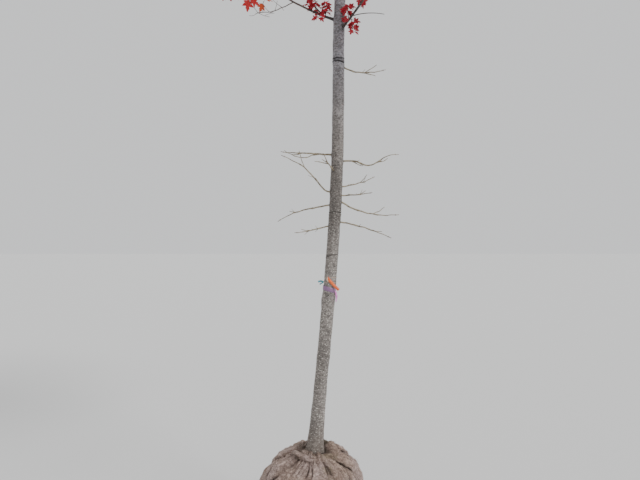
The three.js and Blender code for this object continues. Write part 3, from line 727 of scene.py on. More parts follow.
@dataclass(frozen=True)
class FilmFinish:
    """Thin plastic tape, a little crumpled, that may turn dull where it clings to the bark."""

    name: str
    light: tuple
    dark: tuple
    clinging: tuple | None = None
    roughness: float = 0.42

    def make(self, effects: Effects) -> Material:
        """Makes the material."""
        material, bench, shader = new_material(self.name)
        creased = bench.mask(effects.mottle, Scale=70.0, Low=0.35, High=0.65)
        mixed = bench.blend(creased, self.light, self.dark)
        if self.clinging:
            mixed = bench.blend(bench.mark("cling"), mixed, self.clinging)
        dress(bench, shader, mixed, self.roughness, {"Height": creased, "Distance": 0.001, "Strength": 0.5})
        return material


class Tint(Enum):
    """The autumn tints, each with its colour and its share of the sprays."""

    CRIMSON = (linear(176, 24, 44), 0.34)
    SCARLET = (linear(204, 40, 40), 0.26)
    RUBY = (linear(142, 16, 38), 0.2)
    FLAME = (linear(214, 84, 38), 0.09)
    WINE = (linear(98, 20, 32), 0.07)
    BRONZE = (linear(120, 104, 44), 0.04)

    @classmethod
    def draw(cls, stream: Stream) -> "Tint":
        """Deals out one tint by its share."""
        lot = stream.next()
        for tint in cls:
            lot -= tint.value[1]
            if lot < 0:
                return tint
        return cls.CRIMSON


@dataclass(frozen=True)
class LeafFinish:
    """Autumn leaf of one plain tint, with a soft sheen and shallow veins."""

    tint: Tint
    roughness: tuple = (0.58, 0.8)

    def make(self, effects: Effects) -> Material:
        """Makes the material."""
        material, bench, shader = new_material("leaf_" + self.tint.name.lower())
        ribs = bench.mask(effects.mottle, Scale=160.0, Detail=3.0, Low=0.35, High=0.65)
        roughness = bench.remap(ribs, 0.0, 1.0, *self.roughness)
        bump = {"Height": ribs, "Distance": 0.0008, "Strength": 0.5}
        dress(bench, shader, self.tint.value[0], roughness, bump)
        return material


def place_piece(piece: Object, material: Material, slot: str, nodes: list[str]) -> None:
    """Gives a piece its finish and its place in the frame.

    Args:
        piece: the object.
        material: its finish.
        slot: not used.
        nodes: the solids that the piece stands for.
    """
    piece.data.materials.append(material)
    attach(piece, BODY)
    if nodes:
        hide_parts(*nodes)
    LOG.info("%s: %d faces", piece.name, len(piece.data.polygons))


@dataclass
class TrunkShape:
    """The trunk's line and thickness."""

    seat: float = 0.415
    top: float = 4.56
    offset: float = 0.016
    lean: float = 0.095
    lean_fades_from: float = 0.95
    lean_fades_to: float = 2.5
    sway: float = 0.009
    sway_length: float = 1.45
    sway_depth: float = 0.6
    heights: tuple = (0.415, 0.46, 0.52, 0.62, 0.8, 1.15, 1.3, 2.0, 2.6, 3.0, 3.5, 4.0, 4.56)
    radii: tuple = (
        0.047, 0.0415, 0.038, 0.0345, 0.0328, 0.0328, 0.0316, 0.031, 0.03, 0.0255, 0.0205, 0.0145, 0.0075,
    )
    flare_lobes: int = 5
    flare_depth: float = 0.1
    flare_fade: float = 0.042

    def centre(self, z: Array | float) -> Array:
        """The centre of the trunk at one height or several."""
        z = np.asarray(z, float)
        span = self.lean_fades_to - self.lean_fades_from
        t = np.clip((z - self.lean_fades_from) / span, 0, 1)
        above = np.maximum(0, z - self.lean_fades_to)
        faded = span * (t**3 - t**4 / 2) + above
        swing = self.sway * np.sin(TURN * above / self.sway_length)
        x = self.offset + self.lean * (z - self.seat - faded) + swing
        return np.stack([x, -self.sway_depth * swing, z], axis=-1)

    def radius(self, z: Array | float) -> Array:
        """The trunk's plain radius at one height or several."""
        return np.interp(z, self.heights, self.radii)

    def beside(self, azimuth: float, z: float, out: float) -> Array:
        """The point at an azimuth and height, at a distance from the bark."""
        return self.centre(z) + (self.radius(z) + out) * direction_of(azimuth, pi / 2)


@dataclass
class Branch:
    """One branch of the crown: its whole line, and the woody and leafy stretches of it."""

    line: Array
    length: float
    radius: float
    bare: float
    seed: int
    woody: Array = field(init=False)
    leafy: Array = field(init=False)

    def __post_init__(self) -> None:
        """Parts the line where its foliage starts."""
        self.woody = stretch_of(self.line, 0, self.bare)
        self.leafy = stretch_of(self.line, self.bare, 1)


@dataclass
class CrownPlan:
    """The branches of the crown, by the rule that the solids follow, and the space of each."""

    trunk: TrunkShape
    seed: int = 41
    foliage_seed: int = 100
    leader_seed: int = 90
    tiers: int = 7
    first_tier: float = 2.6
    tier_rise: float = 0.262
    first_azimuth: float = -20 * DEGREE
    tier_turn: float = 68.75 * DEGREE
    tier_jitter: float = 7 * DEGREE
    half_jitter: float = 6 * DEGREE
    rise_jitter: float = 0.024
    tilt_jitter: float = 5 * DEGREE
    length_jitter: float = 0.06
    bend_jitter: float = 14 * DEGREE
    longest: float = 1.08
    longest_tier: float = 1.5
    length_loss: float = 0.46
    low_tilt: float = 58 * DEGREE
    tilt_loss: float = 2.5 * DEGREE
    low_end_tilt: float = 30 * DEGREE
    end_tilt_loss: float = 2 * DEGREE
    bare_share: float = 0.25
    bough_radius: float = 0.008
    bough_tier_loss: float = 0.00045
    bough_end: float = 0.66
    steps: int = 12
    lowest_pair: tuple = (
        (-0.03, -52 * DEGREE, 78 * DEGREE, 44 * DEGREE),
        (0.026, 176 * DEGREE, 74 * DEGREE, 52 * DEGREE),
    )
    lowest_bare_share: float = 0.17
    lowest_radius: float = 0.0064
    leader_azimuth: float = 50 * DEGREE
    leader_tilt: float = 2 * DEGREE
    leader_end_tilt: float = 6 * DEGREE
    leader_radius: float = 0.0065
    tree_top: float = 5.2
    top_leaf_rise: float = 0.02
    middle: float = 3.56
    half_height: float = 1.69
    radius: float = 0.9
    limb_margin: float = 0.006
    space_margin: float = 0.007
    branches: list[Branch] = field(default_factory=list)

    def _line(
        self, start: Array, azimuth: float, tilts: tuple, length: float, bend: float
    ) -> Array:
        """The line of a branch that lifts towards the light."""
        headings = []
        for i in range(self.steps):
            t = (i + 0.5) / self.steps
            turn = azimuth + bend * sin(pi * t)
            headings.append(direction_of(turn, lerp(*tilts, sqrt(t))))
        return walk(start, headings, length)

    def grow(self) -> None:
        """Grows every branch in the order of the solids' numbers, the leader last."""
        stream = Stream(self.seed)
        for tier in range(self.tiers):
            reach = (tier - self.longest_tier) / (self.tiers - 1 - self.longest_tier)
            turn = self.first_azimuth + tier * self.tier_turn + stream.spread(self.tier_jitter)
            for half in (0, 1):
                if tier == 0:
                    rise, azimuth, tilt, end_tilt = self.lowest_pair[half]
                else:
                    rise = stream.spread(self.rise_jitter)
                    azimuth = turn + half * pi + stream.spread(self.half_jitter)
                    tilt = self.low_tilt - tier * self.tilt_loss + stream.spread(self.tilt_jitter)
                    end_tilt = self.low_end_tilt - tier * self.end_tilt_loss
                length = self.longest * (1 - self.length_loss * reach**2)
                length *= 1 + stream.spread(self.length_jitter)
                bend = stream.spread(self.bend_jitter)
                start = self.trunk.centre(self.first_tier + tier * self.tier_rise + rise)
                line = self._line(start, azimuth, (tilt, end_tilt), length, bend)
                radius = self.bough_radius - tier * self.bough_tier_loss if tier else self.lowest_radius
                bare = self.bare_share if tier else self.lowest_bare_share
                self.branches.append(Branch(line, length, radius, bare, self.foliage_seed + 2 * tier + half))
        length = self.tree_top - self.trunk.top - self.top_leaf_rise
        tilts = (self.leader_tilt, self.leader_end_tilt)
        line = self._line(self.trunk.centre(self.trunk.top), self.leader_azimuth, tilts, length, 0)
        self.branches.append(Branch(line, length, self.leader_radius, 0, self.leader_seed))

    def tip_radius(self, branch: Branch) -> float:
        """The thickness at which a bough hands over to its foliage's stem."""
        return branch.radius * lerp(1, self.bough_end, branch.bare / self.bare_share)

    def inside(self, points: Array, own: int, ease: float = 0.0) -> Array:
        """Tells which points lie in one branch's own space.

        Args:
            points: the points, one row each.
            own: the branch's number.
            ease: how far a point may pass into a neighbour's space.

        Returns:
            True for each point that does.
        """
        z = points[:, 2]
        middle = self.trunk.centre(np.minimum(z, self.trunk.top))
        out = np.hypot(points[:, 0] - middle[:, 0], points[:, 1] - middle[:, 1])
        good = ((z - self.middle) / self.half_height) ** 2 + (out / self.radius) ** 2 <= 1
        touching = out < self.trunk.radius(z) + self.limb_margin
        good &= ~((z < self.trunk.top + self.limb_margin) & touching)
        near = distance_to_line(points, self.branches[own].leafy) + 2 * self.space_margin - ease
        for i, other in enumerate(self.branches):
            good &= distance_to_line(points, other.woody) > other.radius + self.limb_margin
            if i != own:
                good &= distance_to_line(points, other.leafy) > near
        return good


@dataclass
class Leaves:
    """All leaves of the tree: where each is seated, and their meshes by tint."""

    centre: tuple = (0.38, 0.0)
    half_outline: tuple = (
        (0.0, 0.0), (0.02, 0.16), (0.1, 0.34), (0.17, 0.42), (0.25, 0.33), (0.29, 0.27),
        (0.36, 0.38), (0.46, 0.46), (0.6, 0.56), (0.6, 0.4), (0.57, 0.26), (0.55, 0.16),
        (0.66, 0.2), (0.74, 0.22), (0.78, 0.12), (0.88, 0.1), (1.0, 0.0),
    )
    stalk_radius: float = 0.0009
    droop_range: tuple = (10 * DEGREE, 66 * DEGREE)
    rolled: float = 26 * DEGREE
    yawed: float = 24 * DEGREE
    sag: float = 0.2
    bend_place: float = 0.55
    bend_sag: float = 0.05
    folded: tuple = (0.02, 0.34)
    curled: tuple = (-0.05, 0.3)
    twisted: float = 0.25
    widened: tuple = (0.88, 1.08)
    crinkle: float = 0.03
    stalk_swell: tuple = (1.3, 0.8, 1.0)
    seed: int = 17
    seats: dict[Tint, list[tuple]] = field(default_factory=lambda: {tint: [] for tint in Tint})

    def seat(self, tint: Tint, foot: Array, way: Array, size: float, stalk: float) -> None:
        """Books one leaf.

        Args:
            tint: its colour.
            foot: where its stalk leaves the shoot.
            way: the stalk's direction.
            size: the blade's length.
            stalk: the stalk's length.
        """
        self.seats[tint].append((*foot, *way, size, stalk))

    def _outline(self) -> Array:
        """The blade's outline, from its foot round by the left."""
        left = np.array(self.half_outline)
        right = left[-2:0:-1] * [1, -1]
        return np.concatenate([left, right])

    def build(self, effects: Effects, nodes: list[str]) -> None:
        """Makes the blades of each tint, and all the stalks.

        Args:
            effects: the shared node groups.
            nodes: the solids that the leaves stand for.
        """
        stalks = Stock()
        random = np.random.default_rng(self.seed)
        for tint, seats in self.seats.items():
            if not seats:
                continue
            rows = np.array(seats)
            blades = Stock()
            self._add_leaves(blades, stalks, rows, random)
            piece = blades.build("leaves_" + tint.name.lower())
            place_piece(piece, LeafFinish(tint).make(effects), "autumn_leaf", nodes)
        finish = TwigFinish("leaf_stalk", linear(168, 60, 54), linear(120, 40, 40))
        place_piece(stalks.build("leaf_stalks"), finish.make(effects), "autumn_leaf", nodes)

    def _add_leaves(
        self, blades: Stock, stalks: Stock, rows: Array, random: np.random.Generator
    ) -> None:
        """Adds the leaves of one tint, all at once."""
        count = len(rows)
        foot, way = rows[:, 0:3], unit(rows[:, 3:6])
        size, stalk = rows[:, 6:7], rows[:, 7:8]
        joint = foot + way * stalk - UP * (self.sag * stalk)
        bend = foot + way * stalk * self.bend_place - UP * (self.bend_sag * stalk)
        yaw = np.arctan2(way[:, 1], way[:, 0]) + random.uniform(-self.yawed, self.yawed, count)
        level = np.stack([np.cos(yaw), np.sin(yaw), np.zeros(count)], axis=1)
        droop = random.uniform(*self.droop_range, (count, 1))
        roll = random.uniform(-self.rolled, self.rolled, (count, 1))
        along = level * np.cos(droop) - UP * np.sin(droop)
        flat = np.cross(UP, level)
        across = flat * np.cos(roll) + np.cross(along, flat) * np.sin(roll)
        normal = np.cross(along, across)
        outline = np.concatenate([self._outline(), [self.centre]])
        u, v = outline[:, 0], outline[:, 1]
        fold = random.uniform(*self.folded, (count, 1))
        curl = random.uniform(*self.curled, (count, 1))
        twist = random.uniform(-self.twisted, self.twisted, (count, 1))
        lift = fold * np.abs(v) - curl * u**2 + twist * u * v + self.crinkle * np.cos(9 * v + 7 * u)
        wide = random.uniform(*self.widened, (count, 1)) * v
        points = (
            joint[:, None, :]
            + (size * u)[..., None] * along[:, None, :]
            + (size * wide)[..., None] * across[:, None, :]
            + (size * lift)[..., None] * normal[:, None, :]
        )
        corners = len(outline)
        rim = corners - 1
        fan = np.stack([(np.arange(rim) + 1) % rim, np.arange(rim), np.full(rim, rim)], axis=1)
        faces = (np.arange(count)[:, None, None] * corners + fan).reshape(-1, 3)
        blades.add(points.reshape(-1, 3), faces)
        self._add_stalks(stalks, np.stack([foot, bend, joint], axis=1), flat)

    def _add_stalks(self, stock: Stock, lines: Array, flat: Array) -> None:
        """Adds a three-sided stalk along each line."""
        turned = np.cross(unit(lines[:, 2] - lines[:, 0]), flat)
        rings = []
        for station, thick in enumerate(self.stalk_swell):
            for angle in even_turns(3):
                out = flat * cos(angle) + turned * sin(angle)
                rings.append(lines[:, station] + out * self.stalk_radius * thick)
        points = np.stack(rings, axis=1)
        first = np.arange(len(lines))[:, None, None] * len(rings)
        faces = (first + wall_faces(3, 3)).reshape(-1, 4)
        ends = (first + np.array([[2, 1, 0], [6, 7, 8]])).reshape(-1, 3)
        stock.add(points.reshape(-1, 3), faces, ends)


@dataclass
class Buds:
    """Winter buds, as small pointed solids."""

    widest_at: float = 0.4
    half_width: float = 0.3
    stock: Stock = field(default_factory=Stock)

    def add(self, foot: Array, way: Array, length: float) -> None:
        """Adds one bud that points along way."""
        side = sideways(way, 0.0)
        other = np.cross(way, side)
        middle = foot + way * length * self.widest_at
        ways = (side, other, -side, -other)
        belt = [middle + out * (length * self.half_width) for out in ways]
        points = np.array([foot, *belt, foot + way * length])
        here = np.array([1, 2, 3, 4])
        after = np.array([2, 3, 4, 1])
        tips = np.stack([here, after, np.full(4, 5)], axis=1)
        feet = np.stack([after, here, np.zeros(4, int)], axis=1)
        self.stock.add(points, tips, feet)


@dataclass
class Foliage:
    """The twigs of the crown, grown on from the boughs by the rule of the solids, down to leafy shoots."""

    plan: CrownPlan
    leaves: Leaves
    buds: Buds
    stem_steps: int = 6
    stem_tip_radius: float = 0.0019
    nodes_per_stem: int = 5
    first_node: float = 0.1
    last_node: float = 0.82
    side_share: float = 0.42
    side_tip_loss: float = 0.5
    side_spread: float = 0.2
    side_roll: float = 0.3
    side_steps: int = 2
    side_tip_radius: float = 0.0015
    twig_root_share: float = 0.55
    divergence: float = 50 * DEGREE
    divergence_jitter: float = 9 * DEGREE
    upward_pull: float = 0.2
    spray_length: float = 0.19
    spray_length_spread: float = 0.14
    spray_droop: float = 32 * DEGREE
    spray_droop_spread: float = 12 * DEGREE
    spray_roll: float = 0.3
    fan_turn: float = 92 * DEGREE
    fan_turn_spread: float = 4 * DEGREE
    fan_droop: float = 0.6
    fan_roll: float = 0.5
    shoot_share: float = 0.5
    shoot_lift: float = 0.35
    shoot_radius: float = 0.0015
    shoot_tip_radius: float = 0.0009
    leaf_size: tuple = (0.046, 0.07)
    stalk_share: tuple = (0.3, 0.52)
    leaf_angle: tuple = (42 * DEGREE, 72 * DEGREE)
    space_ease: float = 0.05
    undersides: tuple = (2.64, 2.86)
    fine_seed: int = 5000
    leaf_turn: float = 0.35
    leaf_lift: float = 0.1
    bud_chance: float = 0.5
    bud_lean: float = 0.7
    bud_length: float = 0.004
    tip_bud_length: float = 0.006
    shoot_spread: tuple = (0.8, 1.15)
    spur_turn: float = 0.4
    spur_length: tuple = (0.035, 0.11)
    spur_angle: tuple = (40, 62)
    short_spur: float = 0.065
    stem_spurs: tuple = (0.16, 0.3, 0.44, 0.56, 0.68, 0.78, 0.87, 0.95)
    twig_spurs: tuple = (0.3, 0.48, 0.66, 0.84)
    stem_wander: tuple = (0.0022, 0.13)
    twig_wander: tuple = (0.0015, 0.07)

    def side_line(
        self, start: Array, heading: Array, side: Array, angle: float, length: float
    ) -> Array:
        """The line of a side twig that bends upwards as it goes."""
        points = [start]
        going = heading * cos(angle) + side * sin(angle)
        for _ in range(self.side_steps):
            going = unit(going + UP * self.upward_pull)
            points.append(points[-1] + going * length / self.side_steps)
        return np.array(points)

    def leafy_shoot(
        self, stock: Stock, own: int, line: Array, pairs: int, tint: Tint,
        stream: Stream, scale: float = 1.0,
    ) -> None:
        """Adds a fine shoot with opposite leaves, each pair a quarter turn on, and a leaf at its tip.

        Args:
            stock: takes the shoot's mesh.
            own: the number of the branch it grows on, or -1 to set its leaves anywhere.
            line: the shoot's line.
            pairs: how many pairs of leaves it bears.
            tint: the leaves' colour.
            stream: gives the small differences.
            scale: makes its leaves larger or smaller than usual.
        """
        curve = smooth_line(line, 5)
        radii = np.linspace(self.shoot_radius, self.shoot_tip_radius, len(curve))
        add_tube(stock, curve, radii, 4)
        roll = stream.next() * pi
        wanted = []
        shares = [lerp(0.2, 1.0, (pair + 0.6) / pairs) for pair in range(pairs)] if pairs > 1 else [0.9]
        for _, foot, heading, side in pairs_along(curve, shares, roll, self.leaf_turn, stream):
            angle = stream.between(*self.leaf_angle)
            way = heading * cos(angle) + side * sin(angle) + UP * self.leaf_lift
            wanted.append((foot, unit(way)))
            if stream.next() < self.bud_chance:
                self.buds.add(foot, unit(heading + side * self.bud_lean), self.bud_length)
        tip = curve[-1]
        heading = heading_along(curve, 1)
        wanted.append((tip, unit(heading + UP * self.leaf_lift / 2)))
        self.buds.add(tip, heading, self.tip_bud_length)
        for foot, way in wanted:
            size = stream.between(*self.leaf_size) * scale
            stalk = size * stream.between(*self.stalk_share)
            out = foot + way * stalk
            reach = out + unit(way * [1, 1, 0.2] - UP * 0.5) * size
            if own < 0 or self._has_room(own, out, reach):
                self.leaves.seat(tint, foot, way, size, stalk)

    def _has_room(self, own: int, joint: Array, reach: Array) -> bool:
        """Tells whether a leaf stays in its branch's space, and over the clear underside of the lowest."""
        if own < len(self.undersides) and reach[2] < self.undersides[own]:
            return False
        return bool(self.plan.inside(np.array([joint, reach]), own, self.space_ease).all())

    def _fan(
        self, stock: Stock, own: int, line: Array, coarse: Stream, fine: Stream
    ) -> None:
        """Grows leafy shoots where the solids have a fan of broad leaves."""
        heading = heading_along(line, 1)
        foot = point_along(line, 1)
        ahead = unit(heading - UP * self.fan_droop)
        across = sideways(ahead, coarse.spread(self.fan_roll))
        above = np.cross(ahead, across)
        for hand in (-1, 0, 1):
            turn = hand * self.fan_turn + coarse.spread(self.fan_turn_spread)
            length = self.spray_length * (1 + coarse.spread(self.spray_length_spread))
            droop = self.spray_droop + coarse.spread(self.spray_droop_spread)
            coarse.spread(self.spray_roll)
            level = ahead * cos(turn) + across * sin(turn)
            reach = foot + (level * cos(droop) - above * sin(droop)) * length
            middle = (foot + reach) / 2
            if not self.plan.inside(np.array([middle, reach]), own, self.space_ease).all():
                continue
            going = unit(level + UP * self.shoot_lift)
            size = length * self.shoot_share * fine.between(*self.shoot_spread)
            end = foot + unit(going + UP * 0.15 + heading * 0.2) * size
            shoot = np.array([foot, foot + going * size * 0.5, end])
            pairs = 4 if fine.next() < 0.5 else 3
            self.leafy_shoot(stock, own, shoot, pairs, Tint.draw(fine), fine)

    def _spurs(
        self, stock: Stock, own: int, line: Array, shares: tuple, fine: Stream
    ) -> None:
        """Adds pairs of short leafy spurs along a twig or stem."""
        tint = Tint.draw(fine)
        roll = fine.next() * pi
        for _, start, heading, side in pairs_along(line, shares, roll, self.spur_turn, fine):
            length = fine.between(*self.spur_length)
            spur = self.side_line(start, heading, side, fine.between(*self.spur_angle) * DEGREE, length)
            if self.plan.inside(spur[1:], own, self.space_ease).all():
                self.leafy_shoot(stock, own, spur, 1 if length < self.short_spur else 2, tint, fine)

    def grow(self, own: int) -> Stock:
        """Grows the twigs and books the leaves of one branch.

        Args:
            own: the branch's number.

        Returns:
            The twigs' mesh.
        """
        branch = self.plan.branches[own]
        coarse = Stream(branch.seed)
        fine = Stream(branch.seed + self.fine_seed)
        stock = Stock()
        shares = np.linspace(branch.bare, 1, self.stem_steps + 1)
        stem = np.array([point_along(branch.line, share) for share in shares])
        root_radius = self.plan.tip_radius(branch)
        curve = smooth_line(stem, 37)
        wavy = wander(curve, *self.stem_wander, branch.seed)
        curve = curve + wavy * smoothstep(0, 0.15, np.linspace(0, 1, len(curve)))[:, None]
        add_tube(stock, curve, np.linspace(root_radius, self.stem_tip_radius, len(curve)), 8)
        stem_length = branch.length * (1 - branch.bare)
        roll = coarse.next() * pi
        last = self.nodes_per_stem - 1
        shares = [lerp(self.first_node, self.last_node, node / last) for node in range(last + 1)]
        for i, place in enumerate(pairs_along(stem, shares, roll, self.side_roll, coarse)):
            share, start, heading, side = place
            angle = self.divergence + coarse.spread(self.divergence_jitter)
            length = stem_length * self.side_share * (1 - self.side_tip_loss * share)
            length *= 1 + coarse.spread(self.side_spread)
            twig = self.side_line(start, heading, side, angle, length)
            if self.plan.inside(twig[1:], own).all():
                thick = self.twig_root_share * lerp(root_radius, self.stem_tip_radius, share)
                self._side_twig(stock, twig, thick, branch.seed + i // 2)
                self._fan(stock, own, twig, coarse, fine)
                self._spurs(stock, own, twig, self.twig_spurs, fine)
        self._fan(stock, own, stem, coarse, fine)
        self._spurs(stock, own, stem, self.stem_spurs, fine)
        return stock

    def _side_twig(self, stock: Stock, twig: Array, thick: float, seed: int) -> None:
        """Adds the mesh of a side twig, a little wavy."""
        line = smooth_line(twig, 13)
        wavy = wander(line, *self.twig_wander, seed)
        line = line + wavy * np.sin(np.linspace(0, pi, len(line)))[:, None]
        add_tube(stock, line, np.linspace(thick, self.side_tip_radius, len(line)), 6)

    def build(self, effects: Effects) -> None:
        """Makes one piece of twigs for each branch."""
        finish = TwigFinish("crown_twig_bark", linear(112, 94, 86), linear(70, 56, 52)).make(effects)
        last = len(self.plan.branches) - 1
        for own in range(last + 1):
            number = "top" if own == last else f"{own + 1:02d}"
            piece = self.grow(own).build("crown_twigs_" + number)
            place_piece(piece, finish, "twig_bark", ["foliage_" + number])


@dataclass
class InnerShoots:
    """Short leafy shoots on the trunk and leader between the boughs, that close the crown's middle."""

    plan: CrownPlan
    foliage: Foliage
    seed: int = 912
    first: float = 2.98
    last: float = 4.95
    rise: float = 0.085
    turn: float = 137.5 * DEGREE
    lengths: tuple = (0.16, 0.4)
    length_loss: float = 0.5
    rise_spread: tuple = (0.7, 1.3)
    radius: float = 0.0026
    steps: int = 4
    swerve: float = 0.15
    tilts: tuple = (64, 34)
    spurs: tuple = (0.45, 0.62, 0.8, 0.95)
    spur_angle: float = 52 * DEGREE
    spur_length: tuple = (0.04, 0.1)

    def build(self, effects: Effects) -> None:
        """Makes the shoots as one piece."""
        stock = Stock()
        stream = Stream(self.seed)
        leader = self.plan.branches[-1].line
        height = self.first
        azimuth = 0.0
        while height < self.last:
            if height < self.plan.trunk.top:
                start = self.plan.trunk.centre(height)
            else:
                start = leader[int(np.argmin(np.abs(leader[:, 2] - height)))]
            loss = self.length_loss * (height - self.first) / (self.last - self.first)
            self._add_shoot(stock, start, azimuth, stream.between(*self.lengths) * (1 - loss), stream)
            height += self.rise * stream.between(*self.rise_spread)
            azimuth += self.turn
        finish = TwigFinish("inner_shoot_bark", linear(112, 94, 86), linear(70, 56, 52)).make(effects)
        place_piece(stock.build("inner_shoots"), finish, "twig_bark", [])

    def _add_shoot(
        self, stock: Stock, start: Array, azimuth: float, length: float, stream: Stream
    ) -> None:
        """Adds one shoot that turns upwards, with pairs of leafy spurs."""
        headings = []
        for i in range(self.steps):
            tilt = lerp(*self.tilts, i / (self.steps - 1)) * DEGREE
            headings.append(direction_of(azimuth + stream.spread(self.swerve), tilt))
        line = smooth_line(walk(start, headings, length), 13)
        add_tube(stock, line, np.linspace(self.radius, self.foliage.side_tip_radius, len(line)), 6)
        tint = Tint.draw(stream)
        for _, *place in pairs_along(line, self.spurs, 0, self.foliage.spur_turn, stream):
            spur = self.foliage.side_line(*place, self.spur_angle, stream.between(*self.spur_length))
            self.foliage.leafy_shoot(stock, -1, spur, 2, tint, stream)


@dataclass(frozen=True)
class LowSpray:
    """A short leafy shoot near the foot of one of the lowest boughs."""

    bough: int
    share: float
    reach: tuple
    pairs: int = 2


@dataclass(frozen=True)
class LowFork:
    """A side branch that leaves one of the lowest boughs near its foot."""

    bough: int
    share: float
    azimuth: float
    tilts: tuple
    length: float
    radius: float
    leafy_from: float


@dataclass
class LowGrowth:
    """What grows about the feet of the lowest boughs: short sprays of small leaves, and forks."""

    plan: CrownPlan
    foliage: Foliage
    seed: int = 611
    leaf_scale: float = 0.56
    spray_arch: float = 0.004
    steps: int = 6
    tip_radius: float = 0.0014
    spur_step: float = 0.16
    spur_angle: float = 50 * DEGREE
    spur_length: tuple = (0.04, 0.09)
    fork_leaf_scale: float = 0.85
    forks: tuple = (
        LowFork(1, 0.085, 170 * DEGREE, (40 * DEGREE, 26 * DEGREE), 0.34, 0.0042, 0.3),
        LowFork(0, 0.1, 4 * DEGREE, (72 * DEGREE, 96 * DEGREE), 0.17, 0.0024, 1),
    )
    sprays: tuple = (
        LowSpray(0, 0.09, (0.01, -0.004, -0.034), 3),
        LowSpray(0, 0.095, (0.008, -0.008, -0.062), 3),
        LowSpray(0, 0.075, (-0.003, 0.006, 0.075), 3),
        LowSpray(0, 0.08, (-0.008, 0.012, 0.058), 3),
        LowSpray(0, 0.155, (0.02, 0.01, 0.06), 4),
        LowSpray(1, 0.075, (0.006, -0.02, 0.055), 4),
        LowSpray(1, 0.075, (-0.004, -0.02, 0.035), 3),
        LowSpray(1, 0.11, (0.0, -0.02, -0.024), 3),
        LowSpray(1, 0.13, (0.0, -0.01, 0.04), 3),
        LowSpray(1, 0.16, (0.004, -0.02, 0.05), 4),
    )

    def build(self, effects: Effects) -> None:
        """Makes the sprays and the forks as one piece."""
        stock = Stock()
        fine = Stream(self.seed)
        for spray in self.sprays:
            start = point_along(self.plan.branches[spray.bough].line, spray.share)
            reach = np.array(spray.reach)
            line = np.array([start, start + reach * 0.5 + UP * self.spray_arch, start + reach])
            self.foliage.leafy_shoot(stock, -1, line, spray.pairs, Tint.CRIMSON, fine, self.leaf_scale)
        for fork in self.forks:
            self._add_fork(stock, fork, fine)
        finish = TwigFinish("low_shoot_bark", linear(92, 78, 72), linear(58, 48, 46)).make(effects)
        place_piece(stock.build("low_shoots"), finish, "twig_bark", [])

    def _add_fork(self, stock: Stock, fork: LowFork, fine: Stream) -> None:
        """Adds one fork with its short leafy spurs."""
        foot = point_along(self.plan.branches[fork.bough].line, fork.share)
        tilts = [lerp(*fork.tilts, i / (self.steps - 1)) for i in range(self.steps)]
        line = walk(foot, [direction_of(fork.azimuth, tilt) for tilt in tilts], fork.length)
        curve = smooth_line(line, 25)
        add_tube(stock, curve, np.linspace(fork.radius, self.tip_radius, len(curve)), 7)
        shares = np.arange(fork.leafy_from, 1, self.spur_step)
        for _, *place in pairs_along(line, shares, 0, self.foliage.spur_turn, fine):
            spur = self.foliage.side_line(*place, self.spur_angle, fine.between(*self.spur_length))
            tint = Tint.draw(fine)
            self.foliage.leafy_shoot(stock, fork.bough, spur, 2, tint, fine, self.fork_leaf_scale)


@dataclass(frozen=True)
class Scar:
    """A healed mark on the trunk."""

    height: float
    azimuth: float
    width: float
    rise: float


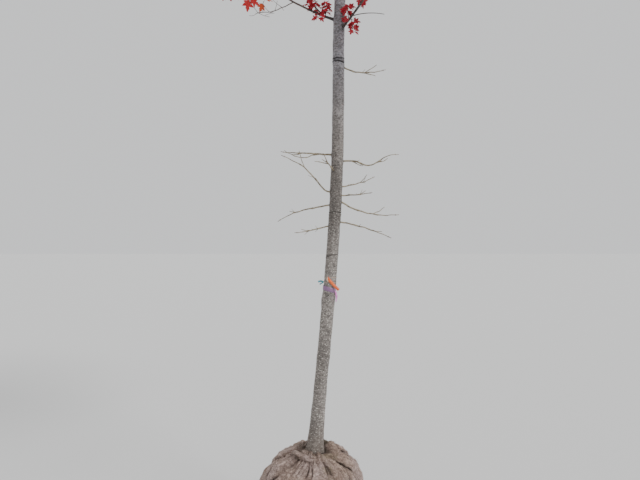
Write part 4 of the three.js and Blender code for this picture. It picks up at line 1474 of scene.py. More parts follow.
@dataclass
class BarkRelief:
    """Everything that stands out of the trunk or is sunk into it."""

    trunk: TrunkShape
    rings: tuple = (
        (1.4, 1.0, 0.0024), (1.616, 1.0, 0.0024), (2.403, 1.3, 0.0046), (2.421, 1.3, 0.004),
        (2.02, 0.4, 0.0016), (0.93, 0.35, 0.0016), (2.56, 0.3, 0.0014), (1.86, 0.3, 0.0014),
        (1.51, 0.3, 0.0014), (2.69, 0.3, 0.0014),
    )
    ring_depth: float = 0.0016
    ring_lip: float = 0.0013
    lip_place: float = 0.006
    lip_width: float = 0.004
    swell: tuple = (0.0008, 0.1, 3)
    grain: tuple = (0.00035, 0.03, 5)
    grain_squeeze: float = 2.2
    pad_rise: float = 0.0022
    eye_depth: float = 0.0026
    eye_shade: float = 0.75
    limb_rise: float = 0.55
    limb_reach: float = 2.1
    limb_shade: float = 0.4
    graft_height: float = 1.17
    graft_azimuth: float = 180 * DEGREE
    graft_rise: float = 0.0045
    graft_width: float = 0.9
    graft_reach: float = 0.035
    foot_ribs: int = 11
    rib_depth: float = 0.0012
    rib_fade: float = 0.06
    scar_heights: tuple = (0.62, 4.3)
    scar_step: tuple = (0.1, 0.24)
    scar_width: tuple = (0.007, 0.014)
    front_scars: tuple = (
        Scar(1.345, -62, 0.009, 0.007), Scar(1.452, -86, 0.008, 0.006), Scar(1.197, -103, 0.016, 0.013),
        Scar(2.69, -92, 0.012, 0.005), Scar(2.525, -97, 0.011, 0.004), Scar(2.36, -96, 0.011, 0.004),
        Scar(2.065, -104, 0.013, 0.005), Scar(1.02, -70, 0.014, 0.01), Scar(0.78, -112, 0.013, 0.01),
        Scar(1.86, -80, 0.01, 0.005), Scar(1.727, -172, 0.016, 0.009), Scar(1.52, -66, 0.009, 0.005),
    )
    scar_seed: int = 77
    marker_height: float = 1.25
    marker_reach: float = 0.06

    def scars(self) -> list[Scar]:
        """The scars that show in front, and seeded opposite pairs all the way up."""
        stream = Stream(self.scar_seed)
        made = list(self.front_scars)
        height, top = self.scar_heights
        turn = 20.0
        while height < top:
            for half in (0, 1):
                azimuth = turn + 180 * half + stream.spread(12)
                wide = stream.between(*self.scar_width) * (1 if height < 2.6 else 0.6)
                scar = Scar(height + stream.spread(0.01), azimuth, wide, wide * stream.between(0.45, 0.8))
                if abs(scar.height - self.marker_height) > self.marker_reach:
                    made.append(scar)
            height += stream.between(*self.scar_step)
            turn += 90 + stream.spread(14)
        return made

    def carve(self, z: Array, angle: Array, limbs: list[tuple]) -> tuple[Array, Array]:
        """The relief over a grid of the trunk's surface.

        Args:
            z: the heights, one for each ring.
            angle: the azimuths, one for each side.
            limbs: the foot, heading and radius of each limb that leaves the trunk.

        Returns:
            How far each point stands out, and how dark it is from 0 to 1: dark ring scars, and painted shade
            in scar eyes and round the feet of limbs.
        """
        heights, turns = np.meshgrid(z, angle, indexing="ij")
        plain = self.trunk.radius(z)[:, None]
        spots = around(plain, turns, heights)
        thick = np.clip(plain / self.trunk.radii[4], 0.3, 1)
        swell, *swell_wave = self.swell
        grain, *grain_wave = self.grain
        proud = swell * thick * ripple(spots, *swell_wave)
        proud += grain * thick * ripple(spots * [1, 1, self.grain_squeeze], *grain_wave)
        dark = np.zeros(turns.shape)
        for k, (level, strength, width) in enumerate(self.rings):
            sag = 0.004 * np.cos(turns + 1.6 * k) + 0.0012 * np.sin(3 * turns + k)
            off = heights - level - sag
            gap = np.exp(-((off / width) ** 2))
            lip = np.exp(-(((np.abs(off) - self.lip_place) / self.lip_width) ** 2))
            proud += strength * (self.ring_lip * lip - self.ring_depth * gap)
            broken = 0.8 + 0.2 * np.sin(2 * turns + 2 * k)
            dark = np.maximum(dark, strength * broken * gap)
        for scar in self.scars():
            across = turn_from(scar.azimuth * DEGREE, turns) * plain / scar.width
            up = (heights - scar.height) / scar.rise
            pad = np.exp(-(across**2) * 0.5 - (up**2) * 0.4)
            eye = np.exp(-(across**2) * 1.4 - ((up - 0.2 * across**2) ** 2) * 5)
            proud += thick * (self.pad_rise * pad - self.eye_depth * eye)
            dark = np.maximum(dark, self.eye_shade * eye)
        for foot, heading, radius in limbs:
            spot = np.arctan2(heading[1], heading[0])
            rise = foot[2] + self.trunk.radius(foot[2]) * heading[2] / max(np.hypot(*heading[:2]), 0.2)
            off = turn_from(spot, turns) * plain
            near = (off**2 + ((heights - rise) * 0.8) ** 2) / (self.limb_reach * radius) ** 2
            proud += self.limb_rise * radius * np.exp(-near)
            rim = np.exp(-((np.sqrt(near) - 0.85) ** 2) * 14)
            dark = np.maximum(dark, self.limb_shade * rim)
        off = turn_from(self.graft_azimuth, turns) / self.graft_width
        proud += self.graft_rise * np.exp(-(off**2) - ((heights - self.graft_height) / self.graft_reach) ** 2)
        ribbed = self.rib_depth * np.exp(-(heights - self.trunk.seat) / self.rib_fade)
        proud += ribbed * np.sin(self.foot_ribs * turns + 3 * np.sin(heights * 30))
        return proud, dark


@dataclass
class Trunk:
    """The trunk's bark, from the ball to the leader, with all its relief."""

    shape: TrunkShape
    relief: BarkRelief
    sides: int = 80
    ring_step: float = 0.0062
    fine_step: float = 0.0011
    fine_reach: float = 0.011

    def _heights(self) -> Array:
        """Ring heights, close together by each dark ring."""
        rows = [np.arange(self.shape.seat, self.shape.top, self.ring_step)]
        for level, *_ in self.relief.rings:
            rows.append(np.arange(level - self.fine_reach, level + self.fine_reach, self.fine_step))
        heights = np.unique(np.concatenate([*rows, [self.shape.top]]))
        kept = np.concatenate([[True], np.diff(heights) > 0.3 * self.fine_step])
        return heights[kept]

    def build(self, finish: Material, limbs: list[tuple]) -> None:
        """Makes the trunk.

        Args:
            finish: the bark.
            limbs: the foot, heading and radius of each limb that leaves it.
        """
        z = self._heights()
        angle = even_turns(self.sides)
        proud, dark = self.relief.carve(z, angle, limbs)
        flare = self.shape.flare_depth * np.exp(-(z - self.shape.seat) / self.shape.flare_fade)
        lobes = 1 + flare[:, None] * np.cos(self.shape.flare_lobes * angle + 1)
        radius = self.shape.radius(z)[:, None] * lobes + proud
        centre = self.shape.centre(z)
        stock = Stock()
        rings = centre[:, None, :] + around(radius, angle, 0.0)
        add_closed(stock, rings, centre[[0, -1]], np.append(dark, [0.0, 0.0]))
        # The kept marks are dark ring scars, and painted shade in scar eyes and round limb feet.
        place_piece(stock.build("trunk_bark", mark="dark_mark_and_shade"), finish, "bark", ["trunk"])


@dataclass
class Boughs:
    """The bare first part of each bough, with a collar where it leaves the trunk."""

    plan: CrownPlan
    sides: int = 18
    step: float = 0.0032
    collar: float = 0.5
    collar_length: float = 0.016
    overrun: float = 0.02
    grain: tuple = (0.0003, 0.02, 60)
    first_ring: float = 0.05
    ring_step: float = 0.055
    ring_rise: float = 0.0007
    ring_width: float = 0.004
    ring_line: float = 0.0022
    shade: float = 0.5
    shade_length: float = 0.006

    def feet(self) -> list[tuple]:
        """The foot, heading and radius of each bough."""
        return [(b.line[0], unit(b.line[1] - b.line[0]), b.radius) for b in self.plan.branches[:-1]]

    def build(self, finish: Material) -> None:
        """Makes one piece for each bough."""
        for own, branch in enumerate(self.plan.branches[:-1]):
            trunk_radius = float(self.plan.trunk.radius(branch.line[0][2]))
            first = 0.5 * trunk_radius / branch.length
            count = int((branch.bare - first) * branch.length / self.step)
            last = branch.bare + self.overrun * branch.bare
            shares = np.linspace(first, last, count)
            stations = np.linspace(first, last, 9)
            line = smooth_line(np.array([point_along(branch.line, s) for s in stations]), count)
            from_bark = np.maximum(0, shares * branch.length - trunk_radius)
            collar = 1 + self.collar * np.exp(-from_bark / self.collar_length)
            taper = lerp(1, self.plan.bough_end, shares / self.plan.bare_share)
            angle = even_turns(self.sides)
            along = (shares * branch.length)[:, None]
            rise, wavelength, seed = self.grain
            relief = rise * ripple(around(0.02, angle, along), wavelength, seed + own)
            dark = np.zeros(relief.shape)
            levels = np.arange(self.first_ring, branch.bare * branch.length, self.ring_step)
            for k, level in enumerate(levels):
                off = along - level - trunk_radius
                relief += self.ring_rise * np.exp(-((off / self.ring_width) ** 2))
                line_shade = self.shade * np.exp(-((off / self.ring_line) ** 2))
                dark = np.maximum(dark, line_shade * (0.6 + 0.4 * np.cos(angle + k)))
            dark = np.maximum(dark, self.shade * np.exp(-(from_bark / self.shade_length) ** 2)[:, None])
            stock = Stock()
            add_tube(stock, line, branch.radius * collar * taper, self.sides, relief, dark)
            number = f"{own + 1:02d}"
            # The kept marks are painted shade along the ring lines and at the collar.
            piece = stock.build("bough_bark_" + number, mark="dark_mark_and_shade")
            place_piece(piece, finish, "bark", ["bough_" + number])


@dataclass(frozen=True)
class BareTwig:
    """One bare twig: its height and azimuth, its length, its tilts in degrees, and its thickness."""

    height: float
    azimuth: float
    length: float
    tilts: tuple
    thick: float


@dataclass(frozen=True)
class BareFork:
    """A second fork of one bare twig: where it leaves, its azimuth and tilts in degrees, and its length."""

    twig: int
    share: float
    azimuth: float
    tilts: tuple
    length: float


@dataclass
class BareTwigs:
    """The bare pale twigs low on the trunk, with buds, spurs and side prongs."""

    trunk: TrunkShape
    foliage: Foliage
    buds: Buds
    seed: int = 700
    radius: float = 0.0033
    bark_thickness: float = 0.0008
    tip_radius: float = 0.0013
    steps: int = 6
    kink: float = 7.0
    fullness: float = 1.7
    prong_place: float = 0.62
    prong_angle: float = 38 * DEGREE
    prong_share: float = 0.3
    prong_root: float = 0.6
    rings: int = 40
    sides: int = 8
    wave: tuple = (0.0012, 0.045)
    knots: float = 6.5
    knot_rise: float = 0.35
    fork_root: float = 0.0026
    node_places: tuple = (0.3, 0.97, 0.13)
    node_turn: float = 0.3
    bark_out: float = 0.0012
    bud_lean: float = 0.8
    bud_length: float = 0.0045
    tip_bud_length: float = 0.007
    spur_chance: float = 0.22
    spurs_end: float = 0.8
    spur_angle: float = 45 * DEGREE
    spur_length: tuple = (0.012, 0.03)
    spur_radii: tuple = (0.0013, 0.0008)
    twigs: tuple = (
        BareTwig(1.918, 176, 0.265, (82, 87, 82), 1.35),
        BareTwig(1.882, -8, 0.295, (76, 93, 116, 66, 52, 108), 1.2),
        BareTwig(1.82, -124, 0.12, (66, 62, 54), 1),
        BareTwig(1.722, 186, 0.312, (96, 42, 42, 63, 64), 1),
        BareTwig(1.748, 14, 0.185, (80, 74, 62), 0.9),
        BareTwig(1.708, -24, 0.16, (94, 90, 84), 0.9),
        BareTwig(1.664, 172, 0.285, (97, 101, 122), 1.05),
        BareTwig(1.694, 4, 0.31, (126, 104, 84), 1.15),
        BareTwig(1.558, 190, 0.175, (102, 106, 96), 0.9),
        BareTwig(1.578, -12, 0.265, (102, 106, 116), 1),
        BareTwig(2.416, -8, 0.235, (150, 98, 76), 0.95),
    )
    forks: tuple = (
        BareFork(0, 0.3, 178, (92, 110, 86, 64, 60), 0.2),
        BareFork(1, 0.22, -16, (112, 122, 104), 0.07),
        BareFork(2, 0.55, -160, (78, 86, 92), 0.075),
        BareFork(10, 0.5, -30, (112, 118), 0.1),
    )

    def _walk(
        self, start: Array, azimuth: float, tilts: tuple, length: float,
        stream: Stream | None = None,
    ) -> Array:
        """A line from its start, with its azimuth and its run of tilts in degrees, kinked by a stream."""
        places = np.linspace(0, 1, len(tilts))
        headings = []
        for i in range(self.steps):
            turn = azimuth + (stream.spread(self.kink) if stream else 0)
            tilt = float(np.interp((i + 0.5) / self.steps, places, tilts))
            headings.append(direction_of(turn * DEGREE, tilt * DEGREE))
        return walk(start, headings, length)

    def line(self, twig: BareTwig, stream: Stream) -> Array:
        """The twig's line, as in its solid."""
        full = twig.length + float(self.trunk.radius(twig.height))
        return self._walk(self.trunk.centre(twig.height), twig.azimuth, twig.tilts, full, stream)

    def feet(self) -> list[tuple]:
        """The foot, heading and radius of each twig."""
        made = []
        for i, twig in enumerate(self.twigs):
            line = self.line(twig, Stream(self.seed + i))
            made.append((line[0], unit(line[1] - line[0]), self.radius * twig.thick))
        return made

    def _limb(self, stock: Stock, line: Array, root: float, seed: int) -> Array:
        """Adds one knotty limb and returns its curve."""
        curve = smooth_line(line, self.rings)
        wavy = wander(curve, *self.wave, seed)
        curve = curve + wavy * smoothstep(0, 0.2, np.linspace(0, 1, self.rings))[:, None]
        radii = lerp(root, self.tip_radius, np.linspace(0, 1, self.rings) ** self.fullness)
        knots = np.clip(np.sin(np.linspace(0, self.knots * pi, self.rings)), 0, 1) ** 8
        add_tube(stock, curve, radii * (1 + self.knot_rise * knots), self.sides)
        return curve

    def _nodes(self, stock: Stock, curve: Array, stream: Stream) -> None:
        """Adds pairs of buds and short spurs along a limb, and the bud at its tip."""
        places = pairs_along(curve, np.arange(*self.node_places), 0, self.node_turn, stream)
        for share, point, heading, side in places:
            foot = point + side * self.bark_out
            if stream.next() < self.spur_chance and share < self.spurs_end:
                length = stream.between(*self.spur_length)
                spur = self.foliage.side_line(foot, heading, side, self.spur_angle, length)
                add_tube(stock, smooth_line(spur, 5), np.linspace(*self.spur_radii, 5), 5)
            else:
                self.buds.add(foot, unit(heading + side * self.bud_lean), self.bud_length)
        self.buds.add(curve[-1], heading_along(curve, 1), self.tip_bud_length)

    def build(self, effects: Effects) -> None:
        """Makes one piece for each twig."""
        finish = TwigFinish("bare_twig_bark", linear(166, 154, 130), linear(112, 100, 82)).make(effects)
        for i, twig in enumerate(self.twigs):
            stream = Stream(self.seed + i)
            line = self.line(twig, stream)
            thick = self.radius * twig.thick
            stock = Stock()
            curve = self._limb(stock, line, thick + self.bark_thickness, self.seed + 10 * i)
            heading = heading_along(line, self.prong_place)
            side = sideways(heading, stream.spread(0.6)) * (1 if i % 2 else -1)
            root = point_along(line, self.prong_place)
            reach = self.prong_share * twig.length
            prong = self.foliage.side_line(root, heading, side, self.prong_angle, reach)
            self._limb(stock, prong, self.prong_root * thick, self.seed + 10 * i + 5)
            for fork in self.forks:
                if fork.twig == i:
                    foot = point_along(line, fork.share)
                    second = self._walk(foot, fork.azimuth, fork.tilts, fork.length)
                    self._limb(stock, second, self.fork_root, self.seed + 10 * i + 7)
            self._nodes(stock, curve, stream)
            number = f"{i + 1:02d}"
            place_piece(stock.build("bare_shoot_" + number), finish, "twig_bark", ["bare_twig_" + number])


@dataclass
class RootBall:
    """The ball of soil in its burlap: drawn-in creases, pillows between them, and a gathered collar."""

    trunk: TrunkShape
    radius: float = 0.28
    foot_radius: float = 0.205
    waist: float = 0.18
    shoulder: float = 0.368
    seat: float = 0.415
    collar_top: float = 0.43
    collar_radius: float = 0.064
    folds: int = 9
    fold_turn: float = 1.15
    fold_depth: float = 0.015
    fold_width: float = 0.22
    fold_sink: float = 0.35
    line_depth: float = 0.007
    line_width: float = 0.026
    lumps: float = 0.005
    pleats: int = 26
    wrinkles: int = 44
    wrinkle_depth: float = 0.0026
    threads: int = 90
    thread_seed: int = 333
    thread_radius: float = 0.0005
    under_shade: float = 0.2
    collar_rises: tuple = ((0.018, 38, 0.5), (0.01, 150, 0.8), (-0.012, -24, 0.3))
    collar_flares: tuple = ((0.03, -6, 0.5), (-0.013, 180, 1.2))
    collar_dip: tuple = ((1.0, -8, 0.6),)
    roll_stations: tuple = (
        (-174, 0.112, 0.412, 0.004), (-162, 0.104, 0.423, 0.01), (-142, 0.093, 0.425, 0.0135),
        (-120, 0.082, 0.42, 0.014), (-100, 0.075, 0.413, 0.0135), (-80, 0.073, 0.407, 0.012),
        (-62, 0.076, 0.402, 0.0095), (-45, 0.083, 0.396, 0.005),
    )
    sides: int = 400
    rings: int = 186

    def _outline(self) -> Array:
        """Radius and height up the ball, from its foot to the collar's lip."""
        c = self.collar_radius
        corners = np.array([
            (self.foot_radius, 0.0), (0.94 * self.radius, 0.42 * self.waist), (self.radius, self.waist),
            (0.92 * self.radius, 0.77 * self.shoulder), (0.7 * self.radius, self.shoulder),
            (2 * c, self.seat - 0.015), (1.3 * c, self.seat), (1.2 * c, self.collar_top - 0.005),
            (c, self.collar_top),
        ])
        return smooth_line(corners, self.rings)

    def creases(self, angle: Array, rise: Array, width: float) -> Array:
        """How much the burlap is drawn in by the creases that cross there, from 0 to 1."""
        winding = self.fold_turn * self.folds * rise
        one = np.sin((self.folds * angle + winding) / 2) ** 2
        other = np.sin((self.folds * angle - winding + 1) / 2) ** 2
        return np.maximum(np.exp(-one / width), np.exp(-other / width))

    def surface(self, angle: Array, radius: Array, z: Array) -> tuple[Array, Array]:
        """The burlap's points and the painted shade on each.

        Args:
            angle: azimuth of each point.
            radius: the outline's radius for it.
            z: the outline's height for it.

        Returns:
            The points, and the painted shade from 0 to 1 for each, in creases, pleats and wrinkles.
        """
        rise = z / self.seat
        fade = smoothstep(0, 0.2, rise) * (1 - smoothstep(0.93, 1.03, rise))
        shift = self.trunk.offset * smoothstep(0.5, 0.95, rise)
        spots = around(radius, angle, z)
        wavy = 0.16 * ripple(spots, 0.16, 21)
        bent = angle + wavy * fade * 0.5
        broad = self.creases(angle, rise, self.fold_width)
        sharp = self.creases(bent, rise + 0.25 * wavy, self.line_width)
        patchy = np.clip(0.65 + 0.7 * ripple(spots, 0.2, 22), 0, 1)
        drawn = self.fold_depth * fade * broad
        line = self.line_depth * fade * sharp * patchy
        swell = np.sin(3 * angle + 2 * rise) * np.cos(2 * angle - 3 * rise)
        crumple = 0.0024 * ripple(spots, 0.045, 23) + 0.0016 * ripple(spots, 0.018, 24, 32)
        near_foot = smoothstep(0, 0.12, rise)
        top = smoothstep(0.72, 0.98, rise)
        pleats = np.sin(self.pleats * angle + 2.5 * np.sin(3 * angle) + 14 * rise)
        pleats = pleats * np.exp(-(((rise - 0.97) / 0.13) ** 2))
        out = radius - drawn - line + self.lumps * fade * swell + crumple * near_foot + 0.0025 * pleats
        out += self._about(angle, self.collar_flares) * smoothstep(0.93, 1.02, rise)
        swing = 3.4 * ripple(spots, 0.15, 26)
        folded = np.exp(-(((np.sin(self.wrinkles * angle + swing) + 1) / 0.42) ** 2))
        patches = np.clip(0.35 + 0.75 * ripple(spots, 0.13, 27), 0, 1)
        folded = folded * patches * smoothstep(0.1, 0.5, rise) * (1 - smoothstep(0.97, 1.03, rise))
        out -= self.wrinkle_depth * folded * (1 - 0.6 * top)
        sunk = self.fold_sink * (drawn + line) * smoothstep(0.7, 0.95, rise)
        lifted = z - sunk + top * (0.6 * crumple + 0.002 * pleats - self.wrinkle_depth * folded)
        bump = self._about(angle, self.collar_rises) + 0.003 * np.sin(9 * angle)
        bump = bump * smoothstep(0.9, 1.0, rise)
        points = np.stack([shift + out * np.cos(angle), out * np.sin(angle), lifted + bump], axis=-1)
        # Painted shade in the creases, the pleats' troughs and the wrinkles.
        dark = np.clip(0.85 * fade * sharp * patchy + 0.2 * fade * broad, 0, 1)
        dark = np.maximum(dark, 0.3 * np.clip(-pleats, 0, 1))
        dark = np.maximum(dark, 0.5 * folded)
        return points, dark

    def _about(self, angle: Array, places: tuple) -> Array:
        """Smooth rises, each with its height, its azimuth in degrees and its width in radians."""
        return sum(high * np.exp(-((turn_from(at * DEGREE, angle) / wide) ** 2)) for high, at, wide in places)

    def build(self, effects: Effects) -> None:
        """Makes the wrapped ball, the roll across the trunk's foot and the loose threads."""
        outline = self._outline()
        angle = even_turns(self.sides)
        turns, radius = np.meshgrid(angle, outline[:, 0])
        heights = np.broadcast_to(outline[:, 1:2], turns.shape)
        points, dark = self.surface(turns, radius, heights)
        points[0, :, 2] = 0
        inner, inner_dark = self._tuck(angle, points[-1])
        under = self._underside(points[0])
        grid = np.concatenate([under, points, inner])
        # The marks are painted shade: the underside, the creases and the tucked lip.
        marks = np.concatenate([np.full(under.shape[:2], self.under_shade), dark, inner_dark])
        flat = grid.reshape(-1, 3)
        stock = Stock()
        stock.add(
            np.concatenate([flat, np.zeros((1, 3))]),
            wall_faces(len(grid), self.sides),
            cap_faces(0, self.sides, len(flat), last=False),
            marks=np.append(marks, self.under_shade),
        )
        piece = stock.build("ball_burlap", mark="hollow_shade")
        climb = np.concatenate([[0], np.cumsum(np.linalg.norm(np.diff(grid[:, 0], axis=0), axis=1))])
        keep_values(piece.data, "climb", np.append(np.repeat(climb, self.sides), 0.0))
        finish = BurlapFinish().make(effects)
        place_piece(piece, finish, "burlap", ["root_ball"])
        place_piece(self._roll(), finish, "burlap", [])
        loose = TwigFinish("loose_thread", linear(176, 158, 140), linear(116, 100, 88), 0.9).make(effects)
        place_piece(self._loose_threads(outline), loose, "burlap", [])

    def _loose_threads(self, outline: Array) -> Object:
        """Frayed threads that lie on the burlap, most of them near the collar."""
        stream = Stream(self.thread_seed)
        stock = Stock()
        for _ in range(self.threads):
            turn = stream.between(0, TURN)
            share = 1 - 0.85 * stream.next() ** 1.5
            way = stream.between(0, TURN)
            turns, shares = [], []
            for _ in range(7):
                way += stream.spread(0.7)
                turn += 0.03 * cos(way)
                share += 0.012 * sin(way)
                turns.append(turn)
                shares.append(min(0.97, max(0.12, share)))
            at = np.array(shares) * (len(outline) - 1)
            rows = np.arange(len(outline))
            radius = np.interp(at, rows, outline[:, 0])
            height = np.interp(at, rows, outline[:, 1])
            points, _ = self.surface(np.array(turns)[None, :], radius[None, :], height[None, :])
            line = points[0]
            out = unit(line * [1, 1, 0] + UP * 0.1)
            lift = 0.0012 + 0.005 * np.abs(np.sin(np.linspace(0, 5, len(line)) + turn))[:, None]
            curve = smooth_line(line + out * lift, 19)
            add_tube(stock, curve, np.full(len(curve), self.thread_radius), 3)
        return stock.build("loose_threads")

    def _underside(self, rim: Array) -> Array:
        """Rings of the flat underside, from near its middle out to the rim."""
        return np.stack([rim * [share, share, 0] for share in (0.12, 0.3, 0.5, 0.7, 0.88)])

    def _tuck(self, angle: Array, lip: Array) -> tuple[Array, Array]:
        """Rings that turn the collar's lip in and down to the trunk's foot, with painted shade deepening
        towards the foot.
        """
        centre = self.trunk.centre(self.seat)
        ground = around(float(self.trunk.radius(self.seat)) * 0.93, angle, 0.0) + centre
        sunk = self._about(angle, self.collar_dip)
        bottom = np.maximum(lip[:, 2] + 0.004 - 0.034 * sunk, centre[2] - 0.001)
        rings = []
        shades = []
        for share in (0.2, 0.45, 0.7, 0.9, 1.0):
            ring = lip * (1 - share) + ground * share
            ring[:, 2] = lip[:, 2] + (bottom - lip[:, 2]) * sqrt(share)
            rings.append(ring)
            shades.append(0.1 + (0.25 + 0.5 * sunk) * share)
        return np.array(rings), np.array(shades)

    def _roll(self) -> Object:
        """A rolled hem that slants across the front of the trunk's foot."""
        centre = self.trunk.centre(self.seat)
        path = np.array([
            [centre[0] + out * cos(turn * DEGREE), out * sin(turn * DEGREE), z]
            for turn, out, z, _ in self.roll_stations
        ])
        count, sides = 90, 20
        curve = smooth_line(path, count)
        thick = smooth_line(np.array([[radius, 0.0, 0.0] for *_, radius in self.roll_stations]), count)[:, 0]
        angle = even_turns(sides)
        along = np.linspace(0, 1, count)[:, None]
        twist = np.cos(3 * angle + 16 * along) * 0.0014 + np.cos(angle - 9 * along) * 0.001
        twist = twist + 0.0009 * ripple(around(0.012, angle, 0.25 * along), 0.014, 31)
        # Painted shade in the roll's twisted hollows.
        dark = np.clip(0.4 * np.cos(3 * angle + 16 * along + pi) - 0.1, 0, 1)
        stock = Stock()
        add_tube(stock, curve, np.maximum(thick, 0.003), sides, twist, dark)
        return stock.build("collar_roll", mark="hollow_shade")


@dataclass
class Markers:
    """The orange tag, the lilac ribbon and the teal tie round the trunk."""

    trunk: TrunkShape
    height: float = 1.25
    clearance: float = 0.0016
    film: float = 0.0006
    fine_loop: float = 0.0014
    segments: int = 72

    def _band(self, stock: Stock, height: float, width: float, dip: float, seed: int) -> None:
        """Adds a thin band round the trunk that may dip on the +x side."""
        angle = even_turns(self.segments)
        ring = np.stack([np.cos(angle), np.sin(angle)], axis=-1) * 0.03
        pucker = 0.0007 * np.maximum(ripple(ring, 0.02, seed), -0.4)
        rows = []
        for out, up in ((0, -0.5), (1, -0.5), (1, -0.2), (1, 0.2), (1, 0.5), (0, 0.5), (0, 0)):
            z = height - dip * np.cos(angle) + up * width + 0.3 * pucker
            centre = self.trunk.centre(z)
            gap = self.clearance + out * self.film + pucker * (1 + up) + 0.0006 * (1 - abs(up))
            rows.append(centre + around(self.trunk.radius(z) + gap, angle, 0.0))
        grid = np.array(rows)
        count = len(grid)
        quads = wall_faces(count + 1, self.segments) % (count * self.segments)
        stock.add(grid.reshape(-1, 3), quads[:, ::-1], marks=np.ones(count * self.segments))

    def _strip(
        self, stock: Stock, points: Array, azimuths: list[float], width: float, cup: float,
        clings: float = 0.0,
    ) -> None:
        """Adds a thin strip through points, facing the azimuth given for each, hollowed by cup."""
        count = 8 * (len(points) - 1) + 1
        curve = smooth_line(points, count)
        turn = np.interp(np.linspace(0, 1, count), np.linspace(0, 1, len(azimuths)), azimuths)
        heading = unit(np.gradient(curve, axis=0))
        facing = np.stack([np.cos(turn), np.sin(turn), 0 * turn], axis=1)
        across = unit(np.cross(heading, facing))
        out = np.cross(across, heading)
        rows = []
        for u, v in ((-0.5, -1), (0, -1), (0.5, -1), (0.5, 1), (0, 1), (-0.5, 1)):
            bowed = cup * (1 - 4 * u * u)
            rows.append(curve + across * u * width + out * (v * self.film / 2 + bowed))
        grid = np.stack(rows, axis=1)
        ends = np.stack([grid[0].mean(axis=0), grid[-1].mean(axis=0)])
        add_closed(stock, grid, ends, np.full(grid[..., 0].size + len(ends), clings))

    def _tag(self) -> Stock:
        """The fine loop, and a strip that slants across the front and stands off at its end."""
        stock = Stock()
        loop = self.height + 0.038
        self._band(stock, loop, self.fine_loop, 0, 41)
        turns = [lerp(-120, -62, i / 6) * DEGREE for i in range(7)]
        gaps = [lerp(0.0022, 0.0044, min(1, i / 2)) for i in range(7)]
        heights = [lerp(loop, loop - 0.036, i / 6) for i in range(7)]
        points = [self.trunk.beside(*place) for place in zip(turns, heights, gaps)]
        free = points[-1]
        points += [free + [0.013, -0.002, -0.012], free + [0.027, -0.005, -0.026]]
        self._strip(stock, np.array(points), turns + [-72 * DEGREE] * 2, 0.0145, 0.001)
        stub = points[0] + np.array([[0.002, -0.001, 0.002], [-0.001, -0.004, -0.01], [0.004, -0.005, -0.02]])
        self._strip(stock, stub, [turns[0]] * 3, 0.007, 0.001, clings=1.0)
        return stock

    def _ribbon(self) -> Stock:
        """A wide band, lower on the +x side, with a bow and a tail that hangs."""
        stock = Stock()
        self._band(stock, self.height - 0.022, 0.022, 0.009, 43)
        azimuth = -30 * DEGREE
        knot = self.trunk.beside(azimuth, self.height - 0.03, 0.0034)
        tail = [knot, knot + [0.005, -0.004, -0.026], knot + [0.002, -0.003, -0.056]]
        self._strip(stock, np.array(tail), [azimuth, azimuth - 0.5, azimuth + 0.3], 0.0125, 0.0016)
        return stock

    def _tie(self) -> Stock:
        """A fine loop with a short stiff end on the -x side, and its second end."""
        stock = Stock()
        height = self.height + 0.014
        self._band(stock, height, self.fine_loop, 0, 45)
        knot = self.trunk.beside(196 * DEGREE, height, 0.003)
        front = -90 * DEGREE
        upper = [knot, knot + [-0.013, -0.003, 0.005], knot + [-0.028, -0.005, 0.002]]
        lower = [knot, knot + [-0.011, -0.006, -0.006], knot + [-0.02, -0.01, -0.011]]
        self._strip(stock, np.array(upper), [front, front - 0.4, front + 0.3], 0.009, 0.001)
        self._strip(stock, np.array(lower), [front, front + 0.5, front], 0.006, 0.0008)
        return stock

    def build(self, effects: Effects) -> None:
        """Makes the three markers."""
        twine = linear(214, 188, 164)
        orange = FilmFinish("orange_film", linear(240, 112, 48), linear(214, 86, 38), twine)
        worn = linear(140, 106, 142)
        lilac = FilmFinish("lilac_film", linear(232, 150, 214), linear(206, 118, 188), worn, 0.35)
        teal = FilmFinish("teal_film", linear(84, 160, 170), linear(46, 106, 118), twine)
        made = (
            ("tag_film", self._tag(), orange, "orange_marker", "marker_tag"),
            ("ribbon_film", self._ribbon(), lilac, "lilac_marker", "marker_ribbon"),
            ("tie_film", self._tie(), teal, "teal_marker", "marker_tie"),
        )
        for name, stock, finish, slot, node in made:
            place_piece(stock.build(name, mark="cling"), finish.make(effects), slot, [node])


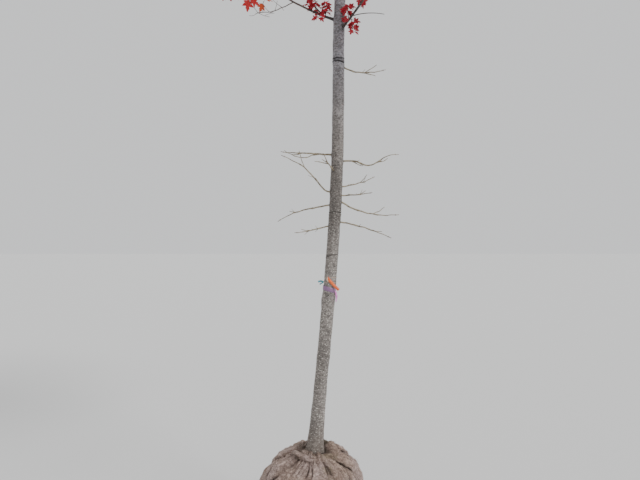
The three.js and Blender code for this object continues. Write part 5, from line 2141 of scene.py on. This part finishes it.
@dataclass
class Studio:
    """The camera at the photograph's viewing angle, soft lights and a plain pale floor."""

    eye: tuple = (0.044, -1.85, 1.414)
    pitch: float = 92 * DEGREE
    lens: float = 20.25
    sensor: float = 36.0
    floor_reach: float = 400.0
    floor_tone: tuple = (0.605, 0.605, 0.6)
    floor_roughness: float = 0.9
    key: tuple = (-26, 46, 20, 2.2)
    back: tuple = (110, 48, 40, 0.6)
    sky: float = 0.9
    sky_tone: tuple = (0.95, 0.96, 0.97)

    def _light(self, name: str, azimuth: float, tilt: float, softness: float, power: float) -> None:
        """Adds one far soft light from an azimuth and a tilt off the vertical, in degrees."""
        data = bpy.data.lights.new(name, "SUN")
        data.angle = softness * DEGREE
        data.energy = power
        new_object(name, data).rotation_euler = (tilt * DEGREE, 0, (azimuth + 90) * DEGREE)

    def build(self) -> None:
        """Makes the camera, the lights, the sky and the floor."""
        camera = new_object("camera", bpy.data.cameras.new("camera"))
        camera.data.lens = self.lens
        camera.data.sensor_width = self.sensor
        camera.location = self.eye
        camera.rotation_euler = (self.pitch, 0, 0)
        bpy.context.scene.camera = camera
        self._light("key", *self.key)
        self._light("back", *self.back)
        world = bpy.data.worlds.new("studio_sky")
        world.use_nodes = True
        background = world.node_tree.nodes["Background"]
        background.inputs["Color"].default_value = (*self.sky_tone, 1)
        background.inputs["Strength"].default_value = self.sky
        bpy.context.scene.world = world
        reach = self.floor_reach
        stock = Stock()
        corners = reach * np.array([[-1, -1, 0], [1, -1, 0], [1, 1, 0], [-1, 1, 0]])
        stock.add(corners, np.array([[0, 1, 2, 3]]))
        floor = stock.build("floor")
        material, _, shader = new_material("pale_floor")
        shader.inputs["Base Color"].default_value = (*self.floor_tone, 1)
        shader.inputs["Roughness"].default_value = self.floor_roughness
        floor.data.materials.append(material)
        floor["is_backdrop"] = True


def write_sizes() -> None:
    """Gathers the solids' box and the visual model's box, and keeps neither."""
    boxes = {"cad": cad_box, "visual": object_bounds()}
    {key: [list(corner) for corner in box] for key, box in boxes.items()}


def main() -> None:
    """Builds the tree from the ground up, then the studio."""
    logging.basicConfig(level=logging.INFO, format="%(name)s: %(message)s")
    effects = Effects()
    Studio().build()
    shape = TrunkShape()
    plan = CrownPlan(shape)
    plan.grow()
    leaves = Leaves()
    buds = Buds()
    foliage = Foliage(plan, leaves, buds)
    boughs = Boughs(plan)
    bare_twigs = BareTwigs(shape, foliage, buds)
    smooth = BarkFinish("smooth_bark", linear(168, 160, 154), linear(64, 58, 54), linear(172, 170, 178))
    young = BarkFinish(
        "bough_bark", linear(86, 76, 71), linear(46, 39, 37), linear(80, 72, 69), pore_share=0.2
    )
    RootBall(shape).build(effects)
    Trunk(shape, BarkRelief(shape)).build(smooth.make(effects), boughs.feet() + bare_twigs.feet())
    boughs.build(young.make(effects))
    bare_twigs.build(effects)
    foliage.build(effects)
    InnerShoots(plan, foliage).build(effects)
    LowGrowth(plan, foliage).build(effects)
    numbers = [f"{i + 1:02d}" for i in range(len(plan.branches) - 1)] + ["top"]
    leaves.build(effects, ["foliage_" + number for number in numbers])
    bud_finish = TwigFinish("bud", linear(120, 58, 50), linear(84, 44, 40)).make(effects)
    place_piece(buds.stock.build("winter_buds"), bud_finish, "twig_bark", [])
    Markers(shape).build(effects)
    write_sizes()


if __name__ == "__main__":
    main()
